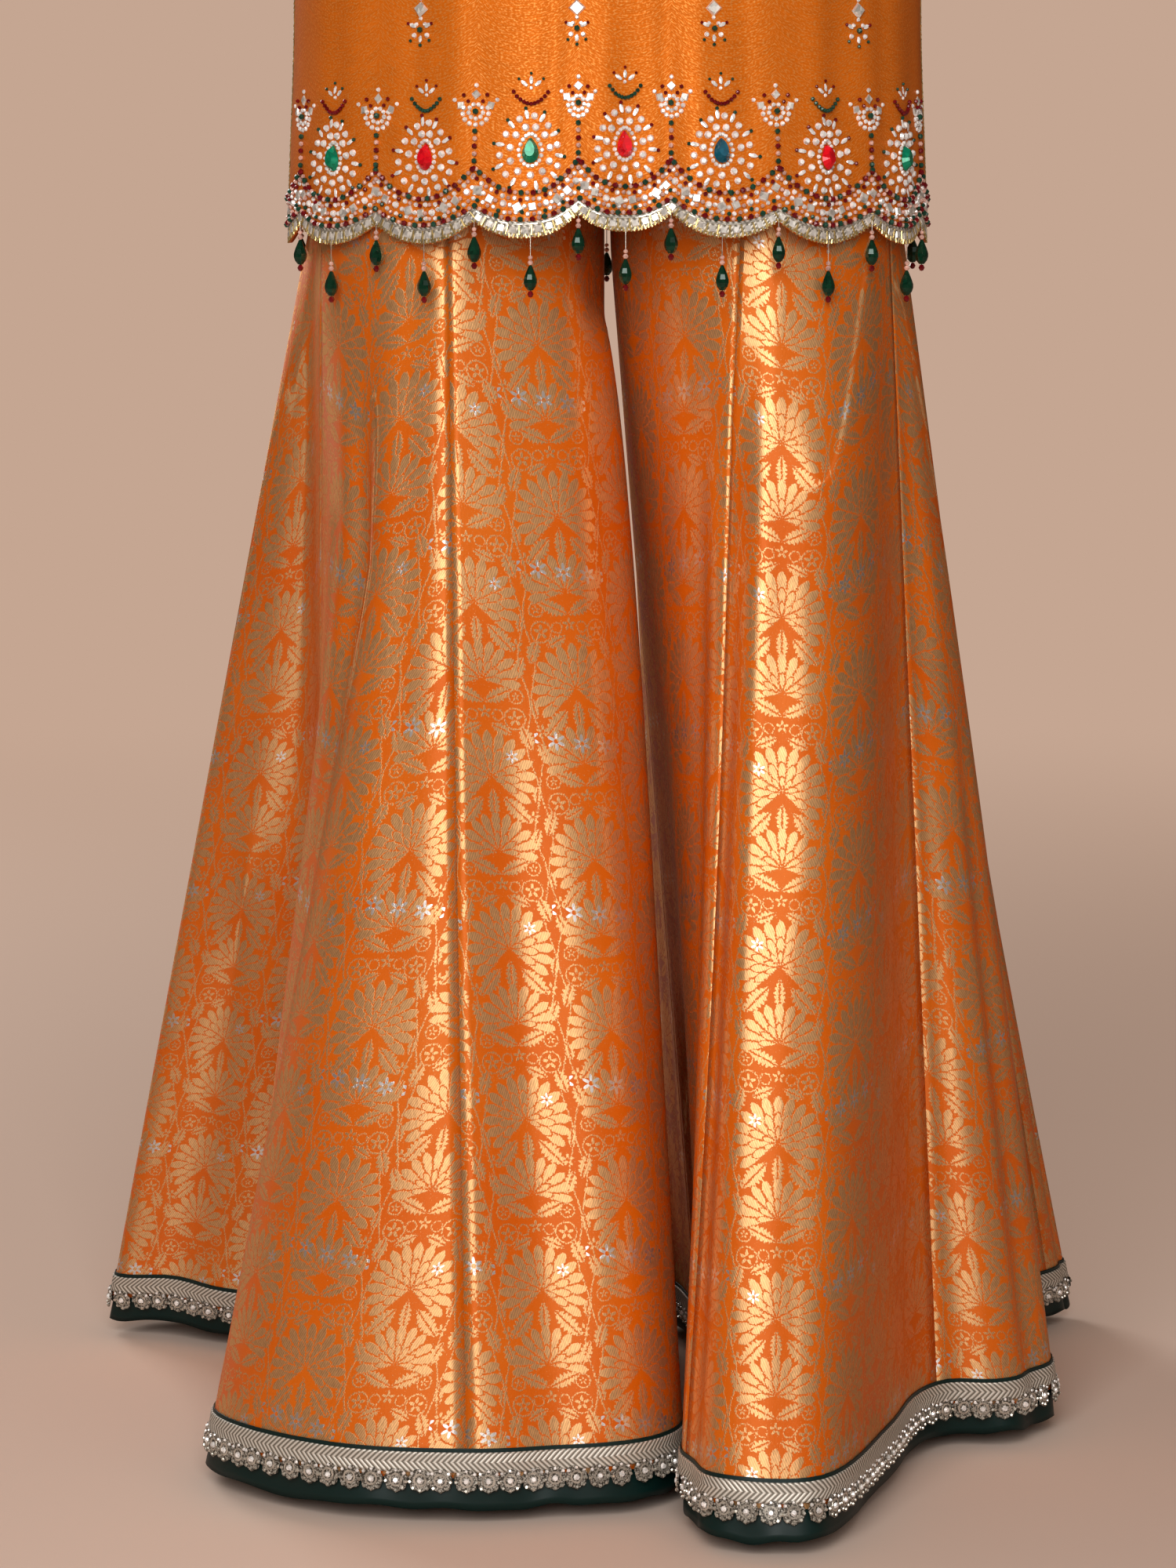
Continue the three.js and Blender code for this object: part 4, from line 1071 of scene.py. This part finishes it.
def sewTulip(sewAt, sewMotif, middle, height):
    def at(x, y, *bead, **turned):
        sewAt(middle, height, x, y, *bead, **turned)

    sewMotif(tulip, middle, height)
    for i in range(9):
        angle = (i + 0.5) / 9 * 2 * math.pi
        at(4.6 * math.sin(angle), 1.5 + 4.6 * math.cos(angle), "round", "white", 3.2)
    for i in range(9):
        angle = math.radians(mix(-112, 112, i / 8))
        at(8.2 * math.sin(angle), 0.8 - 7.8 * math.cos(angle), "round", "white", 3.5)
    for i, colour in enumerate(("green", "pink", "red", "pink", "green", "red", "pink")):
        at(0, -11.2 - 4.7 * i, "seed", colour, 4.0 if colour != "pink" else 3.6)


# The bands that follow the scallops: two arcs of beads, mirrors and stones between them, and the edging
def sewBorder(face, sew, dice):
    for row in borderRows:
        cycle = row["beads"]
        for count, across, height, turn in alongBorder(row["above"], row["spacing"]):
            kind, colour, long, wide, tilt = cycle[count % len(cycle)]
            sway = dice.uniform(-row["loose"], row["loose"])
            sew(kind, colour, across, height + sway, long, wide, turn + tilt + sway * 12)


# The upper arc rises higher over each notch than the hem does
def arcHeight(across, above):
    rises = beadwork["arcRises"]
    return borderHeight(across, above) + hemAt(across)[1] * max(0, above - rises["above"]) / rises["over"]


def alongBorder(above, spacing):
    fine = 0.0008
    across, run, count = -beadwork["borderReach"], spacing / 2, 0
    while across < beadwork["borderReach"]:
        here, there = arcHeight(across, above), arcHeight(across + fine, above)
        run += math.hypot(fine * beadwork["stretch"], there - here)
        if run >= spacing:
            run -= spacing
            slope = math.atan2(there - here, fine * beadwork["stretch"])
            yield count, across, here, math.degrees(slope)
            count += 1
        across += fine


drops = {"cusp": 31, "low": 39, "sides": 8, "reach": 0.995, "out": 1.6, "thread": 0.3}
# A drop's outline from its lower end, in mm: a red bead, a cut green drop and two clear beads on a thread
dropParts = table(
    "colour outline",
    ("red", ((0, 0), (0.4, 1.2), (2.2, 2.1), (4.0, 1.2), (4.4, 0))),
    ("darkgreen", (
        (4.4, 0), (4.6, 1.7), (6.8, 3.5), (9.4, 4.4), (11.6, 4.4), (14.8, 3.4), (20.4, 1), (20.5, 0),
    )),
    ("pink", ((20.5, 0), (20.9, 1.1), (22.2, 1.9), (23.6, 1.1), (24, 0))),
    ("pink", ((24, 0), (24.4, 1.1), (25.4, 1.6), (26.5, 1.1), (26.9, 0))),
)


# A turned shape round the z axis, from pairs of height and radius
def turned(outline, sides):
    bm = bmesh.new()
    verts = [bm.verts.new((radius, 0, up)) for up, radius in outline]
    edges = [bm.edges.new(pair) for pair in zip(verts, verts[1:])]
    bmesh.ops.spin(bm, geom=verts + edges, cent=(0, 0, 0), axis=(0, 0, 1), angle=2 * math.pi, steps=sides,
                   use_merge=True)
    bmesh.ops.remove_doubles(bm, verts=bm.verts, dist=1e-4)
    bmesh.ops.recalc_face_normals(bm, faces=bm.faces)
    return meshArrays(bm)


def makeDrops(glass):
    dice = random.Random(beadwork["seed"] + 1)
    made = {}
    for face in (tunicFront, tunicBack):
        strung = {}
        for half in range(1, 2 * tunic["scallops"]):
            across = (half / tunic["scallops"] - 1) * drops["reach"]
            length = drops["cusp"] if half % 2 else drops["low"]
            top = tunicSurface(face, across, borderHeight(across, 1), drops["out"])
            lowered = Matrix.Translation(top + Vector((0, 0, -length)) * mm) @ Matrix.Scale(mm, 4)
            lowered = lowered @ Matrix.Rotation(dice.uniform(0, 1), 4, "Z")
            for part in dropParts:
                bead = turned(part["outline"], drops["sides"])
                strung.setdefault(part["colour"], []).append((bead, lowered))
            ends = (26, length + 2)
            thread = ((ends[0], 0), (ends[0], drops["thread"]), (ends[1], drops["thread"]), (ends[1], 0))
            strung.setdefault("silver", []).append((turned(thread, 5), lowered))
        for colour, copies in strung.items():
            piece = joined(f"drops_{colour}_{face['name']}", copies)
            dress(piece, glass[colour], "bead_edging")
            made.setdefault(face["name"], []).append(piece)
    print("drops made")
    return made


edgingTape = {"low": 0.6, "tall": 9.8, "out": 0.5}


# The tape under the edging's squares, that the drops hang from
def makeEdgingTape(thread):
    made = {}
    for face in (tunicFront, tunicBack):

        def pointAt(share, up):
            across = (2 * share - 1) * drops["reach"]
            height = borderHeight(across, edgingTape["low"] + edgingTape["tall"] * up)
            return tunicSurface(face, across, height, edgingTape["out"])

        node = "edging_" + face["name"]
        piece = clothGrid("tape_" + node, (tunic["columns"], 3), pointAt, 0.0, flip=face["sign"] > 0)
        dress(piece, thread, "bead_edging", node)
        made[face["name"]] = [piece]
    return made


# Beads: name, colour, roughness, how metallic, how clear
beadGlass = table(
    "name colour roughness metallic clear",
    ("white", "#FBF7F2", 0.16, 0.25, 0.0),  # foiled crystal, hard white glints
    ("mirror", "#ECE6DC", 0.14, 0.5, 0.0),  # silvered glass
    ("silver", "#D9D2C4", 0.22, 0.7, 0.0),  # silver-lined bugles
    ("gold", "#D8BC7C", 0.24, 0.75, 0.0),  # gold-lined bugles
    ("pink", "#F0C0B0", 0.14, 0.1, 0.25),  # clear rose glass over orange silk
    ("red", "#6E0A14", 0.12, 0.1, 0.0),  # dark red glass
    ("green", "#1A4434", 0.14, 0.1, 0.0),  # dark green pearl
    ("darkgreen", "#0C3322", 0.05, 0.2, 0.0),  # cut bottle-green drops
    ("ruby", "#E41020", 0.05, 0.2, 0.0),
    ("emerald", "#08805C", 0.05, 0.2, 0.0),
    ("teal", "#0A5468", 0.05, 0.2, 0.0),
)


def makeBeadGlass():
    made = {}
    for glass in beadGlass:
        material, add, fill = newMaterial(glass["name"] + " beads")
        # painted glints and shade: the beads lighter and darker at random, a few mm at a time
        cells = add("TexVoronoi", add("TexCoord").node.outputs["Object"], None, 380.0).node.outputs["Color"]
        shade = add("MapRange", cells, 0.0, 1.0, 0.6, 1.4)
        fill({
            "Base Color": add("MixRGB", 1.0, linear(glass["colour"]), shade, blend_type="MULTIPLY"),
            "Roughness": glass["roughness"],
            "Metallic": glass["metallic"],
            "Transmission Weight": glass["clear"],
        })
        made[glass["name"]] = material
    return made


# Waistband, lace and facing

trims = {
    "laceRows": (49, 36),
    "laceOut": 2.0,
    "laceWall": 1.4,
    "scallop": {"pitch": 15, "wide": 16.6, "tall": 17.4, "middle": 30.6, "out": 0.8},
    "ring": ((0.1, 3.1), (0.7, 3.3), (0.7, 4.5), (0.1, 4.8), (0.1, 3.1)),
    "pipingRows": (51.6, 48.6),
    "pipingOut": 1.1,
    "pipingWall": 0.8,
    "facingRows": (49, 11.5),
    "facingOut": -1.8,
    "facingWall": 1.2,
    "frillRows": (34, 10),  # where the facing starts to wave and where it waves fully
    "frill": table("waves out drop", (31, 0.9, 0.8), (53, 0.6, 0.7), (17, 1.2, 1.1)),
}
# One scallop of the lace: x and y in mm from its middle
laceStones = table(
    "colour x y wide",
    ("white", 0, -0.4, 4.6), ("silver", 0, -6.7, 2.8), ("silver", -4.6, -5.2, 2.8),
    ("silver", 4.6, -5.2, 2.8), ("silver", -6.8, -1, 2.8), ("silver", 6.8, -1, 2.8),
    ("white", -5.4, 4.4, 2.6), ("white", 5.4, 4.4, 2.6), ("white", 0, 6.2, 2.4),
)


def makeWaistband(brocade):
    low = waistHeight - trousers["waistbandTall"]

    def pointAt(around, up):
        turn = around * 2 * math.pi
        height = mix(low, waistHeight, up)
        width = sectionAt(trousers["hips"], height, "halfWidth") + 1
        depth = sectionAt(trousers["hips"], height, "front" if math.cos(turn) > 0 else "back") + 1
        return spot(width * math.sin(turn), -depth * math.cos(turn), height)

    piece = clothGrid("cloth_waistband", (120, 10), pointAt, 3, ring=True)
    dress(piece, brocade, "brocade", "waistband", held="stretched", restsOn=["tunic_back"])


# Places round a leg's hem at equal steps along the cloth
def alongHem(leg, height, spacing):
    count, fine = len(leg["folds"]), 40
    points = [legPoint(leg, i / fine, height) for i in range(count * fine + 1)]
    total = sum((b - a).length for a, b in zip(points, points[1:])) / mm
    step = total / round(total / spacing) * mm
    run = step / 2
    for i in range(count * fine):
        run += (points[i + 1] - points[i]).length
        if run >= step:
            run -= step
            yield (i + 1) / fine


def makeLegTrims(lace, loops, satin, glass):
    for leg in (rightLeg, leftLeg):
        count = len(leg["folds"])

        def frill(around):
            return [
                sum(wave[kind] * math.sin(around * wave["waves"] * 2 * math.pi) for wave in trims["frill"])
                for kind in ("out", "drop")
            ]

        def band(kind, rows, out, wall, columns, frilled=False):
            top, low = rows

            def pointAt(around, up):
                height, moved = mix(low, top, up), out
                if frilled:
                    sway, drop = frill(around)
                    starts, full = trims["frillRows"]
                    loose = smooth((starts - height) / (starts - full))
                    height, moved = height + drop * loose, out + sway * loose
                return legSurface(leg, around * count, height, moved)

            name = f"cloth_{kind}_{leg['name']}"
            return clothGrid(name, (columns, 8), pointAt, wall, flip=leg["side"] < 0, ring=True, band=True)

        columns = count * trousers["columnsPerFold"]
        heading = band("lace", trims["laceRows"], trims["laceOut"], trims["laceWall"], columns)
        piping = band("piping", trims["pipingRows"], trims["pipingOut"], trims["pipingWall"], columns)
        facing = band("facing", trims["facingRows"], trims["facingOut"], trims["facingWall"], columns * 3,
                      frilled=True)
        strung = {"scallops": [], "white": [], "silver": []}
        dice = random.Random(beadwork["seed"] + 2)
        disc, rounds, ring = beadShape("scallop"), beadShape("round"), turned(trims["ring"], 10)
        scallop = trims["scallop"]
        for place in alongHem(leg, scallop["middle"], scallop["pitch"]):
            normal = legNormal(leg, place, scallop["middle"])
            point = legSurface(leg, place, scallop["middle"], scallop["out"])
            strung["scallops"].append((disc, onCloth(point, normal, 0, scallop["wide"], scallop["tall"])))
            strung["silver"].append((ring, onCloth(point, normal, out=scallop["out"])))
            side = onCloth(point, normal)
            for stone in laceStones:
                centre = side @ Vector((stone["x"], stone["y"], 1.0))
                tilted = Vector((dice.uniform(-0.2, 0.2), 0, dice.uniform(-0.05, 0.3)))
                tilted = (normal + tilted).normalized()
                lain = onCloth(centre, tilted, 0, stone["wide"], stone["wide"])
                strung[stone["colour"]].append((rounds, lain))
        sewn = []
        for colour, copies in strung.items():
            piece = joined(f"lace_{colour}_{leg['name']}", copies)
            dress(piece, loops if colour == "scallops" else glass[colour], "silver_lace")
            sewn.append(piece)
        hung = {"held": "hung", "restsOn": [f"trousers_{leg['name']}_side"]}
        dress(heading, lace, "silver_lace", "lace_" + leg["name"], sewnOn=sewn, **hung)
        dress(piping, satin, "green_facing")
        dress(facing, satin, "green_facing", "facing_" + leg["name"], sewnOn=[piping], **hung)
    print("lace and facings made")


# Studio

studio = {
    "lens": 107.96,
    "camera": (-0.0129, -3.1607, 0.8706 - 1.09),
    "pitch": 7.3196,
    "floor": "#DCC7B8",
    "sky": "#C5A692",
    "floorSide": 120,
    "floorFades": (1.2, 4.5),  # metres from the middle
    "skyLight": 0.42,
    "mirrored": 0.16,
    "floorMirrored": 0.55,
    "lights": table(
        "name place power side",
        ("key", (-0.45, -3.9, 1.2), 146, 2.6),
        ("fill", (2.4, -3.2, 0.9), 7, 2.0),
        ("back", (-2.2, 3.2, 1.5), 58, 1.8),
    ),
}


def makeStudio():
    camera = bpy.data.objects.new("camera", bpy.data.cameras.new("camera"))
    camera.data.sensor_width = 36
    camera.data.lens = studio["lens"]
    camera.data.clip_end = 200
    camera.location = studio["camera"]
    camera.rotation_euler = (math.radians(90 - studio["pitch"]), 0, 0)
    bpy.context.collection.objects.link(camera)
    bpy.context.scene.camera = camera

    bm = bmesh.new()
    bmesh.ops.create_grid(bm, x_segments=1, y_segments=1, size=studio["floorSide"] / 2)
    bmesh.ops.translate(bm, verts=bm.verts, vec=spot(0, 0, 0))
    mesh = bpy.data.meshes.new("floor")
    bm.to_mesh(mesh)
    bm.free()
    floor = bpy.data.objects.new("floor", mesh)
    bpy.context.collection.objects.link(floor)
    mesh.materials.append(makeFloorPaint())

    for lamp in studio["lights"]:
        data = bpy.data.lights.new(lamp["name"], "AREA")
        data.energy = lamp["power"]
        data.size = lamp["side"]
        light = bpy.data.objects.new(lamp["name"], data)
        light.location = lamp["place"]
        light.rotation_euler = (Vector((0, 0, -0.4)) - light.location).to_track_quat("-Z", "Y").to_euler()
        bpy.context.collection.objects.link(light)
    world = bpy.data.worlds.new("studio")
    world.use_nodes = True
    sky = world.node_tree.nodes["Background"]
    sky.inputs["Color"].default_value = linear(studio["sky"])
    # the backdrop's tone is brighter than its light, and the room that shiny things mirror is darker still
    ray = knot(world, "LightPath").node
    light, mirrored = studio["skyLight"], studio["mirrored"]
    strength = knot(world, "multiply_add", ray.outputs["Is Camera Ray"], 1 - light, light)
    strength = knot(world, "multiply_add", ray.outputs["Is Glossy Ray"], mirrored - light, strength)
    world.node_tree.links.new(strength, sky.inputs["Strength"])
    bpy.context.scene.world = world
    bpy.context.scene.view_settings.view_transform = "Standard"
    bpy.context.scene.cycles.diffuse_bounces = 2
    bpy.context.scene.cycles.glossy_bounces = 2


# Matt paint that carries a soft shadow near the suit and goes over into the backdrop's tone far off
def makeFloorPaint():
    paint, add, fill = newMaterial("floor paint")
    place = add("TexCoord").node.outputs["Object"]
    away = add("VectorMath", place, spot(0, 0, 0), operation="DISTANCE").node.outputs["Value"]
    faded = add("MapRange", away, *studio["floorFades"], 0.0, 1.0, interpolation_type="SMOOTHSTEP")
    ray = add("LightPath").node.outputs
    # shiny cloth mirrors a darker floor than the one that shows
    mirrored = add("multiply_add", ray["Is Glossy Ray"], studio["floorMirrored"] - 1, 1.0)
    near = add("MixRGB", 1.0, linear(studio["floor"]), mirrored, blend_type="MULTIPLY")
    seen = add("multiply_add", ray["Is Camera Ray"], 1 - studio["mirrored"], studio["mirrored"])
    fill({
        "Base Color": add("MixRGB", faded, near, (0, 0, 0, 1)),
        "Emission Color": linear(studio["sky"]),
        "Emission Strength": add("multiply", faded, seen),
        "Roughness": 1.0,
        "Specular IOR Level": 0.0,
    })
    return paint


makeStudio()
brocade = makeBrocade()
silk, greenSatin, laceThread = makeTissueSilk(), makeSatin(), makeLaceThread()
makeTrousers(brocade)
makeWaistband(brocade)
glass = makeBeadGlass()
beads, hanging, tape = makeBeadwork(glass), makeDrops(glass), makeEdgingTape(laceThread)
sewnOn = {name: beads[name] + hanging[name] + tape[name] for name in ("front", "back")}
sewnOn["front"].append(makeNeckband(silk))
makeTunicPanels(silk, sewnOn)
makeSleeves(silk)
makeLegTrims(laceThread, makeLoopedThread(), greenSatin, glass)
